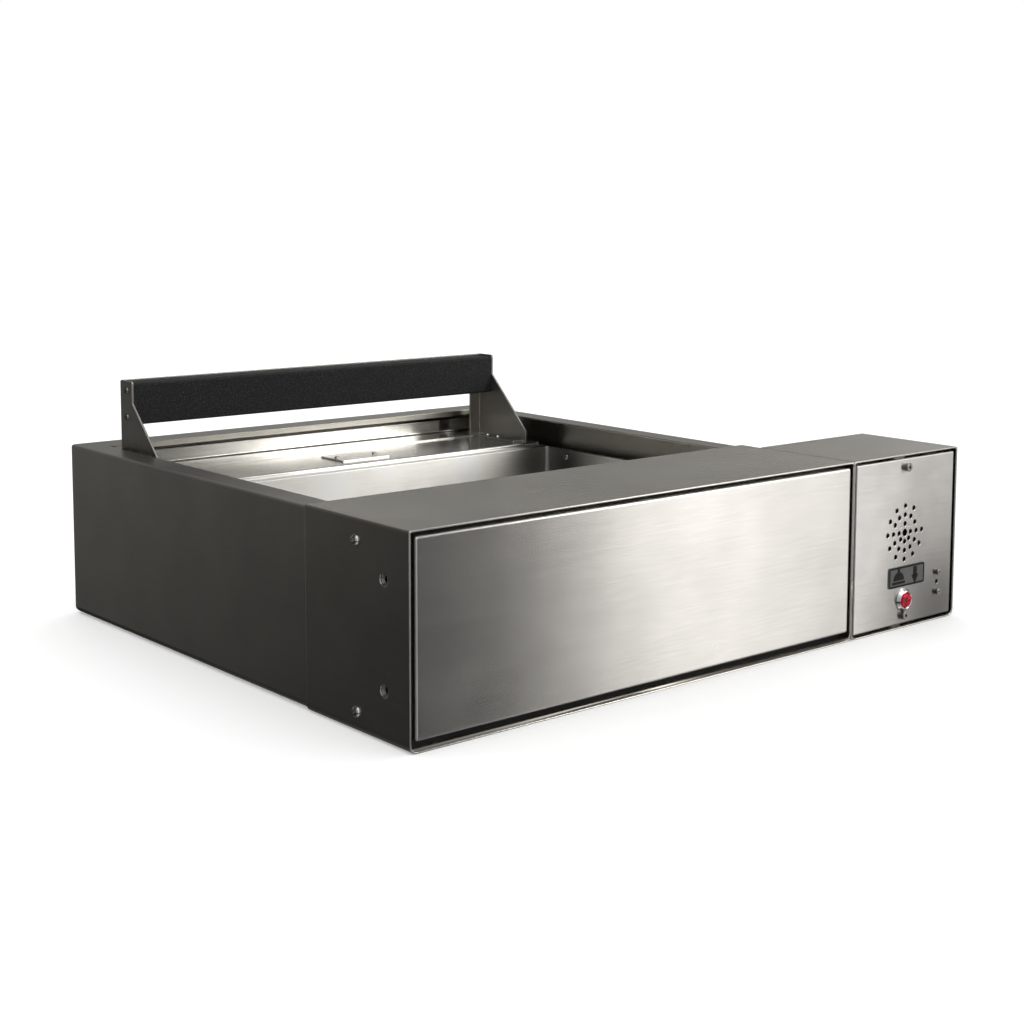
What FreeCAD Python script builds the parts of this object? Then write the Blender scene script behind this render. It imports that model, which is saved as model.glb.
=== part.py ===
"""Through-the-counter deposit drawer with a side call unit.

The drawer runs out on telescopic ball slides to the outdoor side (-Y) and is pushed and pulled
by a bar at the indoor side (+Y).  Millimetres, +Z up, +X to the right of someone outdoors.
The origin is the centre of the bezel's underside.
"""
import FreeCAD, Part
import math
import os
import re
import Sketcher

Vector = FreeCAD.Vector
doc = FreeCAD.newDocument("deposit_drawer")

# ---------------------------------------------------------------- driving dimensions
SIZES = [
    # bezel: the hood over the front of the housing
    ("bezel_width", 569, "outer width of the bezel"),
    ("unit_height", 190, "outer height of bezel and call unit"),
    ("bezel_depth", 158, "front to back of the bezel"),
    ("gauge", 1.5, "thickness of the stainless sheet"),
    ("fit_gap", 0.2, "clearance between nested sheets"),
    ("run_gap", 0.4, "clearance between pieces that slide past each other"),
    ("bezel_round", 8, "outer radius of the folded bottom corners"),
    ("weld_round", 2, "dressed radius of the welded top edges"),
    ("weld_fillet", 2.5, "inner radius of the welded top corners"),
    # housing: the open box behind the bezel
    ("housing_depth", 635, "front of the bezel to the back of the housing"),
    ("housing_set", 24, "front of the bezel to the front edge of the housing"),
    ("side_flange", 28, "width of the side top flanges"),
    ("rear_flange", 36, "width of the rear top flange"),
    ("rear_lip", 6.5, "height of the rear flange's turned-down lip"),
    ("rear_round", 7, "outer radius of the rear vertical corners"),
    ("fold_round", 2.4, "outer radius of the other folds"),
    ("counter_hole", 9, "diameter of the counter bolt holes"),
    ("counter_inset_x", 60, "counter bolt holes in from the housing sides"),
    ("counter_front", 200, "front of the bezel to the front counter bolt holes"),
    ("counter_rear", 55, "rear counter bolt holes in from the back of the housing"),
    # fasteners on the bezel's sides
    ("screw_d", 6, "side screw diameter"),
    ("head_d", 10.5, "side screw head diameter"),
    ("head_high", 3.3, "side screw head height"),
    ("head_pass", 1, "clearance round the side screw heads"),
    ("screw_long", 12, "side screw shank length"),
    ("side_screw_y", 78, "front of the bezel to the side screws"),
    ("side_screw_edge", 19.5, "side screws in from the top and bottom"),
    ("side_hole_d", 11, "diameter of the side unit holes"),
    ("side_hole_y", 36.5, "front of the bezel to the side unit holes"),
    ("side_hole_edge", 47, "side unit holes in from the top and bottom"),
    ("nut_flange_d", 13, "flange diameter of the rivet nuts"),
    ("nut_long", 10, "length of the rivet nuts"),
    # telescopic slides
    ("slide_thick", 19, "overall thickness of a closed slide"),
    ("slide_high", 52, "height of the outer slide member"),
    ("slide_gauge", 1.8, "thickness of the slide members"),
    ("slide_long", 500, "length of every slide member"),
    ("slide_set", 40, "front of the bezel to the front of the slides"),
    ("race_gap", 4.2, "height of the ball races"),
    ("ball_d", 3.6, "diameter of the balls"),
    ("cage_gauge", 0.6, "thickness of the ball cages"),
    ("ball_count", 4, "balls in each row"),
    ("slide_screw_set", 50, "slide screws in from the ends of the inner member"),
    ("slide_screw_count", 3, "screws that hold each inner member"),
    ("stroke", 320, "full travel of the drawer"),
    # drawer body
    ("body_base", 14, "height of the carcass underside"),
    ("rear_run", 21.5, "drawer's rear in front of the back of the housing"),
    ("deck_drop", 31, "deck below the top of the bezel"),
    ("deck_deep", 135, "front of the deck to the rear upstand"),
    ("seam_deep", 45, "seam in the deck to the rear upstand"),
    ("deck_overlap", 12, "rear deck plate lapped over the front one"),
    ("deck_round", 1.9, "edge radius of the deck plates"),
    ("deck_corner", 5, "radius of the deck's two front corners"),
    ("upstand_high", 17, "height of the rear upstand over the deck"),
    ("rim_drop", 3.6, "bin's rim below the deck"),
    ("ledge_deep", 20, "depth of the ledge behind the bin"),
    ("ledge_lap", 3, "ledge run on under the deck"),
    ("bin_round", 5, "inner radius of the bin's corners"),
    ("wall_screw_back", 35, "screw in each bin wall in front of its rear wall"),
    ("wall_screw_drop", 9, "screw in each bin wall below the rim"),
    ("wall_screw_long", 6, "shank length of the bin wall screws"),
    # drawer front
    ("panel_side_gap", 3.8, "mean gap at the two ends of the drawer front"),
    ("panel_shift", 1.8, "drawer front set to the right of the middle"),
    ("panel_top_gap", 4, "gap above the drawer front"),
    ("panel_low_gap", 8, "gap below the drawer front"),
    ("panel_recess", 1, "drawer front set back from the bezel's edge"),
    ("panel_fold", 12, "depth of the drawer front's returns"),
    ("panel_round", 3, "edge radius of the drawer front"),
    ("front_screw_inset", 26, "front screws in from the bin's corners"),
    ("small_screw_d", 4, "diameter of the handle and front screws"),
    ("small_head_d", 7.6, "head diameter of the handle and front screws"),
    ("small_head_high", 2.4, "head height of the handle and front screws"),
    ("small_screw_long", 11, "shank length of the handle screws"),
    ("screw_fit", 0.1, "radial clearance of screw shanks"),
    # weather seal and its frame
    ("slide_pass", 1, "clearance of the slides in the seal's notches"),
    ("seal_thick", 6, "thickness of the weather seal"),
    ("seal_side", 16, "width of the seal frame at the sides"),
    ("seal_top", 20, "width of the seal frame at the top"),
    ("seal_low", 11, "width of the seal frame at the bottom"),
    # handle
    ("bracket_inset", 14.3, "outside of a bracket in from the side of the carcass"),
    ("bracket_gauge", 2, "thickness of the brackets"),
    ("bracket_set", 32, "back of the brackets in front of the rear upstand"),
    ("bracket_high", 103, "height of the brackets over the deck"),
    ("bracket_neck", 26.5, "depth of a bracket beside the bar"),
    ("neck_long", 24, "straight front edge at the top of a bracket"),
    ("gusset_set", 10, "brackets behind the front of the deck"),
    ("knee_high", 14, "upright front edge of a bracket"),
    ("bracket_flange", 15, "width of a bracket's rear flange and foot"),
    ("bracket_round", 2.5, "radius of a bracket's top corners"),
    ("bar_high", 45, "height of the handle bar"),
    ("bar_below", 2, "top of the bar below the top of the brackets"),
    ("bar_round", 2.5, "edge radius of the bar"),
    ("bar_screw_edge", 8, "bar screws in from its top and bottom"),
    ("foot_screw_span", 20, "spacing of the screws in a bracket's foot"),
    ("foot_screw_set", 66, "front of the deck to the middle of the foot screws"),
    ("foot_set", 5, "bracket's foot short of its web at each end"),
    # nameplate
    ("plate_wide", 66, "width of the blank nameplate"),
    ("plate_deep", 45, "depth of the blank nameplate"),
    ("plate_thick", 1.6, "thickness of the blank nameplate"),
    ("plate_x", 15, "nameplate centre right of the middle"),
    ("plate_set", 41, "front of the deck to the nameplate centre"),
    ("plate_round", 1.5, "corner radius of the nameplate"),
    ("plate_screw_span", 52, "spacing of the nameplate screws"),
    ("plate_screw_d", 3, "nameplate screw diameter"),
    ("plate_head_d", 5.6, "nameplate screw head diameter"),
    ("plate_head_high", 1.8, "nameplate screw head height"),
    # call unit
    ("unit_width", 176, "outer width of the call unit"),
    ("unit_depth", 132, "front to back of the call unit"),
    ("face_gap", 3.2, "gap round the call unit's face plate"),
    ("face_recess", 1, "face plate set back from the edge"),
    ("face_fold", 9, "depth of the face plate's returns"),
    ("face_round", 1.6, "edge radius of the face plate"),
    ("face_screw_edge", 14, "face screws in from the top and bottom"),
    ("face_screw_d", 5, "face screw diameter"),
    ("face_head_d", 9.4, "face screw head diameter"),
    ("face_head_high", 4.6, "face screw head height"),
    ("speaker_z", 104.5, "height of the speaker's centre"),
    ("ring_pitch", 9.7, "spacing of the rings of sound holes"),
    ("sound_hole_d", 5.4, "diameter of the sound holes"),
    ("centre_hole_d", 8, "diameter of the middle sound hole"),
    ("punch_d", 1.8, "diameter of the punch marks at the unpierced places"),
    ("speaker_d", 77, "diameter of the loudspeaker"),
    ("speaker_deep", 26, "depth of the loudspeaker"),
    ("speaker_rim", 5, "width of the loudspeaker's clamped rim"),
    ("gasket_thick", 2, "thickness of the loudspeaker's gasket"),
    ("basket_gauge", 1.2, "thickness of the loudspeaker's basket"),
    ("magnet_d", 44.7, "diameter of the loudspeaker's magnet"),
    ("magnet_thick", 8, "thickness of the loudspeaker's magnet"),
    ("cone_neck_d", 16, "diameter of the cone's neck"),
    ("stud_d", 3, "diameter of the loudspeaker's studs"),
    ("stud_long", 9, "length of the loudspeaker's studs"),
    ("stud_out", 3, "studs outside the loudspeaker's rim"),
    ("stud_nut_d", 10, "flange diameter of the loudspeaker's nuts"),
    ("stud_nut_high", 3.5, "height of the loudspeaker's nuts"),
    ("legend_wide", 61, "width of the legend plate"),
    ("legend_high", 22.5, "height of the legend plate"),
    ("legend_thick", 1, "thickness of the legend plate"),
    ("legend_x", 4, "legend plate's centre right of the call unit's middle"),
    ("legend_z", 57, "height of the legend plate's centre"),
    ("legend_round", 2.6, "corner radius of the legend plate"),
    ("button_z", 31, "height of the call button's centre"),
    ("button_base_d", 24.6, "diameter of the button's bezel at the face"),
    ("button_rim_d", 19.4, "diameter of the button's bezel at the front"),
    ("button_proud", 4.6, "height of the button's bezel"),
    ("lens_d", 16.6, "diameter of the button's lens"),
    ("lens_proud", 1, "lens in front of its bezel"),
    ("lens_travel", 2.5, "travel of the button"),
    ("barrel_d", 18.6, "diameter of the button's threaded barrel"),
    ("barrel_long", 24, "length of the barrel behind the face"),
    ("well_deep", 4, "depth of the lens's well behind the face"),
    ("stem_d", 6, "diameter of the lens's stem"),
    ("stem_long", 14, "length of the stem behind the face"),
    ("ring_nut_across", 24, "width across the button's ring nut"),
    ("ring_nut_high", 3, "height of the button's ring nut"),
    ("switch_wide", 17, "width of the switch block"),
    ("switch_deep", 16, "depth of the switch block"),
    ("pin_wide", 2.8, "width of the switch's blade terminals"),
    ("pin_thick", 0.8, "thickness of the switch's blade terminals"),
    ("pin_long", 7, "length of the switch's blade terminals"),
    ("pin_span", 10, "spacing of the switch's blade terminals"),
    ("mic_x", 58.5, "microphone right of the call unit's middle"),
    ("mic_z", 42.5, "height of the microphone"),
    ("mic_hole_d", 5.2, "diameter of the microphone hole"),
    ("mic_screw_span", 22, "spacing of the microphone screws"),
    ("mic_screw_d", 3, "microphone screw diameter"),
    ("mic_screw_long", 7, "microphone screw shank length"),
    ("mic_head_d", 6.8, "microphone screw head diameter"),
    ("mic_head_high", 4, "microphone screw head height"),
    ("capsule_d", 10, "diameter of the microphone capsule"),
    ("capsule_long", 7, "length of the microphone capsule"),
    ("holder_wide", 12, "width of the microphone's holder"),
    ("tab_size", 16, "size of the welded fixing tabs"),
    ("tab_beyond", 3.5, "face plate's tabs beyond their screws"),
    ("block_wide", 48, "width of the terminal block"),
    ("block_deep", 14, "depth of the terminal block"),
    ("block_high", 20, "height of the terminal block"),
    ("block_x", -26, "terminal block's centre right of the call unit's middle"),
    ("block_z", 55, "height of the terminal block's centre"),
    ("block_poles", 6, "poles of the terminal block"),
    ("pole_d", 4.8, "diameter of the terminal block's screw wells"),
    ("pole_deep", 5, "depth of the terminal block's screw wells"),
    ("cable_d", 10, "bore of the cable grommet"),
    ("grommet_neck", 2.5, "wall of the cable grommet in its hole"),
    ("grommet_brim", 5, "wall of the cable grommet at its flanges"),
    ("grommet_long", 9, "length of the cable grommet"),
    ("grommet_x", 45, "cable grommet right of the call unit's middle"),
    ("grommet_z", 40, "height of the cable grommet"),
]

sheet = doc.addObject("Spreadsheet::Sheet", "Sizes")
for row, (alias, value, note) in enumerate(SIZES, 1):
    sheet.set(f"A{row}", note)
    sheet.set(f"B{row}", str(value))
    sheet.setAlias(f"B{row}", alias)
doc.recompute()

# ---------------------------------------------------------------- derived places
# Each is a named property bound to a formula over the sheet's cells.
DERIVED = [
    ("front_y", "-bezel_depth / 2"),
    ("bezel_half", "bezel_width / 2"),
    ("housing_half", "bezel_half - gauge - fit_gap"),
    ("housing_low", "gauge + fit_gap"),
    ("housing_top", "unit_height - gauge - fit_gap"),
    ("housing_front", "front_y + housing_set"),
    ("housing_back", "front_y + housing_depth"),
    ("mouth_half", "housing_half - side_flange"),
    ("side_y", "front_y + side_screw_y"),
    ("hole_y", "front_y + side_hole_y"),
    ("counter_y", "front_y + counter_front"),
    ("counter_spacing", "housing_depth - counter_front - counter_rear"),
    ("wall_in", "housing_half - gauge"),
    ("carcass_half", "wall_in - slide_thick"),
    ("slide_front", "front_y + slide_set"),
    ("panel_half", "bezel_half - gauge - panel_side_gap"),
    ("panel_low", "gauge + panel_low_gap"),
    ("panel_top", "unit_height - gauge - panel_top_gap"),
    ("panel_y", "front_y + panel_recess"),
    ("carcass_front", "panel_y + gauge"),
    ("carcass_back", "housing_back - rear_run"),
    ("upstand_y", "carcass_back - gauge"),
    ("deck_top", "unit_height - deck_drop"),
    ("bin_top", "deck_top - rim_drop"),
    ("carcass_top", "bin_top - gauge"),
    ("upstand_top", "deck_top + upstand_high"),
    ("slide_z", "(body_base + carcass_top) / 2"),
    ("bracket_top", "deck_top + bracket_high"),
    ("neck_low", "bracket_top - neck_long"),
    ("bin_half", "carcass_half - gauge - fit_gap"),
    ("bin_front", "carcass_front + gauge + fit_gap"),
    ("bin_base", "body_base + gauge + fit_gap"),
    ("deck_y", "upstand_y - deck_deep"),
    ("seam_y", "upstand_y - seam_deep"),
    ("ledge_back", "deck_y + ledge_lap"),
    ("bin_wall_y", "ledge_back - ledge_deep"),
    ("seal_y", "panel_y + panel_fold + run_gap"),
    ("bracket_y", "upstand_y - bracket_set"),
    ("gusset_y", "deck_y + gusset_set"),
    ("bracket_half", "carcass_half - bracket_inset"),
    ("bracket_in", "bracket_half - bracket_gauge"),
    ("front_screw_x", "bin_half - front_screw_inset"),
    ("front_screw_low", "bin_base + front_screw_inset"),
    ("front_screw_high", "carcass_top - front_screw_inset"),
    ("bar_top", "bracket_top - bar_below"),
    ("bar_low", "bar_top - bar_high"),
    ("bar_thick", "bracket_neck - bracket_gauge"),
    ("bar_mid_y", "bracket_y - bracket_gauge - bar_thick / 2"),
    ("flange_screw_x", "bracket_in - bracket_flange / 2"),
    ("foot_mid_y", "deck_y + foot_screw_set"),
    ("plate_y", "deck_y + plate_set"),
    ("unit_left", "bezel_half + fit_gap"),
    ("unit_mid", "unit_left + unit_width / 2"),
    ("unit_back", "front_y + unit_depth"),
    ("face_left", "unit_left + gauge + face_gap"),
    ("face_wide", "unit_width - 2 * gauge - 2 * face_gap"),
    ("face_low", "gauge + face_gap"),
    ("face_high", "unit_height - 2 * gauge - 2 * face_gap"),
    ("face_y", "front_y + face_recess"),
    ("face_back", "face_y + gauge"),
    ("mic_mid", "unit_mid + mic_x"),
    ("stud_ring", "speaker_d / 2 + stud_out"),
    ("grommet_mid", "unit_mid + grommet_x"),
    ("back_y", "unit_back - gauge"),
]
derived = doc.addObject("App::FeaturePython", "Derived")
OWNER = {alias: "Sizes" for alias, _, _ in SIZES}
OWNER.update({name: "Derived" for name, _ in DERIVED})
WORD = re.compile(r"\b(" + "|".join(sorted(OWNER, key=len, reverse=True)) + r")\b")


def formula(text):
    """The text with every named size given its owner, as an expression needs."""
    return WORD.sub(lambda found: OWNER[found.group(1)] + "." + found.group(1), str(text))


for name, text in DERIVED:
    derived.addProperty("App::PropertyFloat", name)
    derived.setExpression(name, formula(text))
doc.recompute()


def size(name):
    """A named size as a number."""
    owner = sheet if OWNER[name] == "Sizes" else derived
    return float(getattr(owner, name))


# ---------------------------------------------------------------- modelling helpers
FINISHED = []


def bind(thing, **formulas):
    """Tie properties of a document object to formulas; x, y, z mean its place."""
    for prop, text in formulas.items():
        path = f"Placement.Base.{prop}" if prop in "xyz" else prop
        thing.setExpression(path, formula(text))


def node(thing, label):
    """Name a finished sub-part."""
    thing.Label = label
    FINISHED.append(thing)
    return thing


def box(x, y, z, length, width, height):
    """A plain block between formulas: its low corner and its three sizes."""
    block = doc.addObject("Part::Box", "Block")
    bind(block, x=x, y=y, z=z, Length=length, Width=width, Height=height)
    return block


AXES = {
    "x": FreeCAD.Rotation(Vector(0, 1, 0), 90),
    "y": FreeCAD.Rotation(Vector(1, 0, 0), -90),
    "z": FreeCAD.Rotation(),
}


def rod(axis, x, y, z, radius, height):
    """A cylinder from its base centre along +x, +y or +z."""
    pin = doc.addObject("Part::Cylinder", "Rod")
    pin.Placement.Rotation = AXES[axis]
    bind(pin, x=x, y=y, z=z, Radius=radius, Height=height)
    return pin


def fuse(*things):
    """Everything joined into one."""
    joined = doc.addObject("Part::MultiFuse", "Joined")
    joined.Shapes = list(things)
    joined.Refine = True
    return joined


def cut(base, *tools):
    """The base with every tool taken away."""
    result = doc.addObject("Part::Cut", "Cut")
    result.Base = base
    result.Tool = tools[0] if len(tools) == 1 else fuse(*tools)
    return result


def along(axis, **sides):
    """Pick a block's edges that run along an axis, at its low (-1) or high (+1) sides."""
    def picks(shape):
        names = []
        bounds = shape.BoundBox
        for index, edge in enumerate(shape.Edges, 1):
            if edge.Curve.TypeId != "Part::GeomLine":
                continue
            way = edge.tangentAt(edge.FirstParameter)
            if abs(getattr(way, axis)) < 0.99:
                continue
            middle = edge.CenterOfMass
            limits = {side: getattr(bounds, f"{side.upper()}{'Max' if sign > 0 else 'Min'}")
                      for side, sign in sides.items()}
            if all(abs(getattr(middle, side) - limit) < 1e-3 for side, limit in limits.items()):
                names.append(f"Edge{index}")
        return names
    return picks


def rounded(x, y, z, length, width, height, *rounds):
    """A block as a PartDesign body, with each (picker, radius formula) rounded in turn."""
    body = doc.addObject("PartDesign::Body", "Rounded")
    block = body.newObject("PartDesign::AdditiveBox", "Start")
    bind(block, Length=length, Width=width, Height=height)
    bind(body, x=x, y=y, z=z)
    doc.recompute()
    step = block
    for picker, radius in rounds:
        fillet = body.newObject("PartDesign::Fillet", "Round")
        fillet.Base = (step, picker(step.Shape))
        fillet.setExpression("Radius", formula(radius))
        doc.recompute()
        step = fillet
    return body


PLANES = {"xy": "XY_Plane", "xz": "XZ_Plane", "yz": "YZ_Plane"}


def sketch_on(body, plane):
    """An empty sketch on one of the body's own origin planes."""
    drawing = body.newObject("Sketcher::SketchObject", "Profile")
    role = PLANES[plane]
    support = [face for face in body.Origin.OriginFeatures if face.Role == role][0]
    drawing.AttachmentSupport = [(support, "")]
    drawing.MapMode = "FlatFace"
    return drawing


def pin_point(drawing, line, end, across, up):
    """Fix one end of a line at two formulas from the sketch's origin."""
    for kind, text, axis in (("DistanceX", across, -2), ("DistanceY", up, -1)):
        if text == "0":
            drawing.addConstraint(Sketcher.Constraint("PointOnObject", line, end, axis))
            continue
        index = drawing.addConstraint(Sketcher.Constraint(kind, -1, 1, line, end, 1.0))
        drawing.setExpression(f"Constraints[{index}]", formula(text))


def outline(drawing, corners):
    """A closed polygon whose corners are pairs of formulas."""
    rough = [Vector(10 * math.cos(turn), 10 * math.sin(turn), 0)
             for turn in (2 * math.pi * step / len(corners) for step in range(len(corners)))]
    for index, start in enumerate(rough):
        end = rough[(index + 1) % len(rough)]
        drawing.addGeometry(Part.LineSegment(start, end), False)
    for index in range(len(rough)):
        after = (index + 1) % len(rough)
        drawing.addConstraint(Sketcher.Constraint("Coincident", index, 2, after, 1))
    for index, (across, up) in enumerate(corners):
        pin_point(drawing, index, 1, across, up)


def padded(plane, corners, length, **place):
    """A body: a polygon pushed out from one of its planes, placed by formulas."""
    body = doc.addObject("PartDesign::Body", "Padded")
    drawing = sketch_on(body, plane)
    outline(drawing, corners)
    pad = body.newObject("PartDesign::Pad", "Pad")
    pad.Profile = drawing
    pad.setExpression("Length", formula(length))
    if plane == "xz":
        pad.Reversed = True
    bind(body, **place)
    doc.recompute()
    return body


def soften(body, picker, radius):
    """Round picked edges of a body's last feature."""
    last = body.Tip
    fillet = body.newObject("PartDesign::Fillet", "Round")
    fillet.Base = (last, picker(last.Shape))
    fillet.setExpression("Radius", formula(radius))
    doc.recompute()
    return body


def turned(corners, **place):
    """A body turned about its own Z axis from a half section of radius and height formulas."""
    body = doc.addObject("PartDesign::Body", "Turned")
    drawing = sketch_on(body, "xz")
    outline(drawing, corners)
    spin = body.newObject("PartDesign::Revolution", "Spin")
    spin.Profile = drawing
    spin.ReferenceAxis = (drawing, ["V_Axis"])
    spin.Angle = 360
    bind(body, **place)
    doc.recompute()
    return body


def facing_front(body):
    """Turn a body so that its own +Z points to the front, -Y."""
    body.Placement.Rotation = FreeCAD.Rotation(Vector(1, 0, 0), 90)
    return body


def group(label, shapes):
    """Several separate solids as one node."""
    feature = doc.addObject("Part::Feature", "Group")
    feature.Shape = Part.makeCompound(shapes)
    return node(feature, label)


def placed(shape, spot, way):
    """A copy of a shape built along +Z, moved to a spot and pointed along a way."""
    copy = shape.copy()
    copy.Placement = FreeCAD.Placement(Vector(*spot), FreeCAD.Rotation(Vector(0, 0, 1), Vector(*way)))
    return copy


def socket_space(corner, head_high):
    """The hexagonal hollow in the top of a screw's head, from its corner radius."""
    ring = [Vector(corner * math.cos(math.radians(60 * step)),
                   corner * math.sin(math.radians(60 * step)), head_high * 0.45)
            for step in range(7)]
    return Part.Face(Part.makePolygon(ring)).extrude(Vector(0, 0, head_high))


def button_screw(diameter, head_d, head_high, long):
    """A domed socket screw: head on +Z from the seat at 0, shank on -Z."""
    radius = head_d / 2
    flat = radius * 0.45
    rim = head_high * 0.2
    low = Vector(radius, 0, 0)
    edge = Vector(radius, 0, rim)
    crown = Vector(flat, 0, head_high)
    swell = Vector(radius * 0.83, 0, head_high * 0.72)
    lines = [
        Part.LineSegment(Vector(0, 0, 0), low).toShape(),
        Part.LineSegment(low, edge).toShape(),
        Part.Arc(edge, swell, crown).toShape(),
        Part.LineSegment(crown, Vector(0, 0, head_high)).toShape(),
        Part.LineSegment(Vector(0, 0, head_high), Vector(0, 0, 0)).toShape(),
    ]
    head = Part.Face(Part.Wire(lines)).revolve(Vector(0, 0, 0), Vector(0, 0, 1), 360)
    shank = Part.makeCylinder(diameter / 2, long, Vector(0, 0, -long))
    socket = socket_space(diameter * 0.34, head_high)
    return head.fuse(shank).cut(socket).removeSplitter()


def cap_screw(diameter, head_d, head_high, long):
    """A cylindrical socket screw: head on +Z from the seat at 0, shank on -Z."""
    head = Part.makeCylinder(head_d / 2, head_high)
    rims = [edge for edge in head.Edges if edge.Closed and edge.CenterOfMass.z > head_high / 2]
    head = head.makeChamfer(head_high * 0.12, rims)
    shank = Part.makeCylinder(diameter / 2, long, Vector(0, 0, -long))
    socket = socket_space(diameter * 0.42, head_high)
    return head.fuse(shank).cut(socket).removeSplitter()


def rivet_nut(bore, flange_d, long):
    """A flanged round nut: flange seat at 0, body towards -Z."""
    collar = Part.makeCylinder(flange_d / 2, 1, Vector(0, 0, -1))
    sleeve = Part.makeCylinder(bore / 2 + 1.5, long, Vector(0, 0, -long))
    hole = Part.makeCylinder(bore / 2, long + 2, Vector(0, 0, -long - 1))
    return collar.fuse(sleeve).cut(hole).removeSplitter()


def hex_nut(bore, across, high):
    """A plain hexagon nut from 0 towards +Z."""
    corner = across / math.sqrt(3)
    ring = [Vector(corner * math.cos(math.radians(60 * step)),
                   corner * math.sin(math.radians(60 * step)), 0) for step in range(7)]
    block = Part.Face(Part.makePolygon(ring)).extrude(Vector(0, 0, high))
    return block.cut(Part.makeCylinder(bore / 2, high + 2, Vector(0, 0, -1)))


# ---------------------------------------------------------------- slide sections
# Each member is a channel lying along Y.  Its section is drawn from the housing wall inwards
# (across) and from the bottom of the outer member upwards (up).
MID_HIGH = "(slide_high - 2 * slide_gauge - 2 * race_gap)"
INNER_HIGH = "(slide_high - 4 * slide_gauge - 4 * race_gap)"
WEB_GAP = "(cage_gauge + 2 * run_gap)"
MID_WEB = f"(slide_gauge + {WEB_GAP})"
NOTCH_HALF = f"wall_in - {MID_WEB} + slide_pass"


# ---------------------------------------------------------------- housing
SIDE_SCREW_ZS = ("side_screw_edge", "unit_height - side_screw_edge")
SIDE_HOLE_ZS = ("side_hole_edge", "unit_height - side_hole_edge")


def make_housing():
    """Open box folded from sheet: floor, two walls, back, and a flange round the top."""
    skin = rounded("-housing_half", "housing_front", "housing_low", "2 * housing_half",
                   "housing_depth - housing_set", "housing_top - housing_low",
                   (along("z", y=1), "rear_round"),
                   (along("y", z=-1), "bezel_round - gauge"), (along("y", z=1), "fold_round"))
    hollow = rounded("-wall_in", "housing_front - gauge", "housing_low + gauge", "2 * wall_in",
                     "housing_depth - housing_set", "housing_top - housing_low - 2 * gauge",
                     (along("z", y=1), "rear_round - gauge"),
                     (along("y", z=-1), "bezel_round - 2 * gauge"),
                     (along("y", z=1), "fold_round - gauge"))
    mouth = box("-mouth_half", "housing_front - gauge", "housing_top - 2 * gauge",
                "2 * mouth_half", "housing_depth - housing_set - rear_flange + gauge",
                "3 * gauge")
    holes = []
    for side in ("-1", "1"):
        for row in ("0", "1"):
            holes.append(rod("z", f"{side} * (housing_half - counter_inset_x)",
                             f"counter_y + {row} * counter_spacing",
                             "housing_low - gauge", "counter_hole / 2", "3 * gauge"))
    for z in SIDE_SCREW_ZS:
        holes.append(rod("x", "-housing_half - gauge", "side_y", z,
                         "screw_d / 2 + 1.5 + fit_gap", "2 * housing_half + 2 * gauge"))
    for z in SIDE_HOLE_ZS:
        holes.append(rod("x", "-housing_half - gauge", "hole_y", z,
                         "screw_d / 2 + 1.5 + fit_gap", "2 * housing_half + 2 * gauge"))
    lip = box("-mouth_half", "housing_back - rear_flange", "housing_top - rear_lip",
              "2 * mouth_half", "gauge", "rear_lip - gauge / 2")
    node(fuse(cut(skin, hollow, mouth, *holes), lip), "housing_shell")


def make_bezel():
    """The hood: a sleeve with folded bottom corners and welded top corners."""
    skin = rounded("-bezel_half", "front_y", "0", "bezel_width", "bezel_depth", "unit_height",
                   (along("y", z=-1), "bezel_round"), (along("y", z=1), "weld_round"))
    hollow = rounded("-bezel_half + gauge", "front_y - gauge", "gauge", "bezel_width - 2 * gauge",
                     "bezel_depth + 2 * gauge", "unit_height - 2 * gauge",
                     (along("y", z=-1), "bezel_round - gauge"), (along("y", z=1), "weld_fillet"))
    holes = [rod("x", "-bezel_half - gauge", "side_y", z, "screw_d / 2 + fit_gap",
                 "bezel_width + 2 * gauge") for z in SIDE_SCREW_ZS]
    holes += [rod("x", "-bezel_half - gauge", "hole_y", z, "side_hole_d / 2",
                  "bezel_width + 2 * gauge") for z in SIDE_HOLE_ZS]
    node(cut(skin, hollow, *holes), "bezel_shell")


def make_side_fasteners():
    """Domed screws through the bezel into rivet nuts in the housing, and spare nuts."""
    edge = size("side_screw_edge")
    high = size("unit_height")
    low_hole = size("side_hole_edge")
    screw = button_screw(size("screw_d"), size("head_d"), size("head_high"),
                         size("screw_long"))
    nut = rivet_nut(size("screw_d") + 2 * size("fit_gap"), size("nut_flange_d"), size("nut_long"))
    screws = []
    screw_nuts = []
    unit_nuts = []
    for side in (-1, 1):
        for z in (edge, high - edge):
            screws.append(placed(screw, (side * size("bezel_half"), size("side_y"), z),
                                 (side, 0, 0)))
            screw_nuts.append(placed(nut, (side * size("wall_in"), size("side_y"), z),
                                     (side, 0, 0)))
        for z in (low_hole, high - low_hole):
            spot = (side * size("wall_in"), size("hole_y"), z)
            unit_nuts.append(placed(nut, spot, (side, 0, 0)))
    group("bezel_screws", screws)
    group("bezel_nuts", screw_nuts)
    group("side_unit_nuts", unit_nuts)


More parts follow.
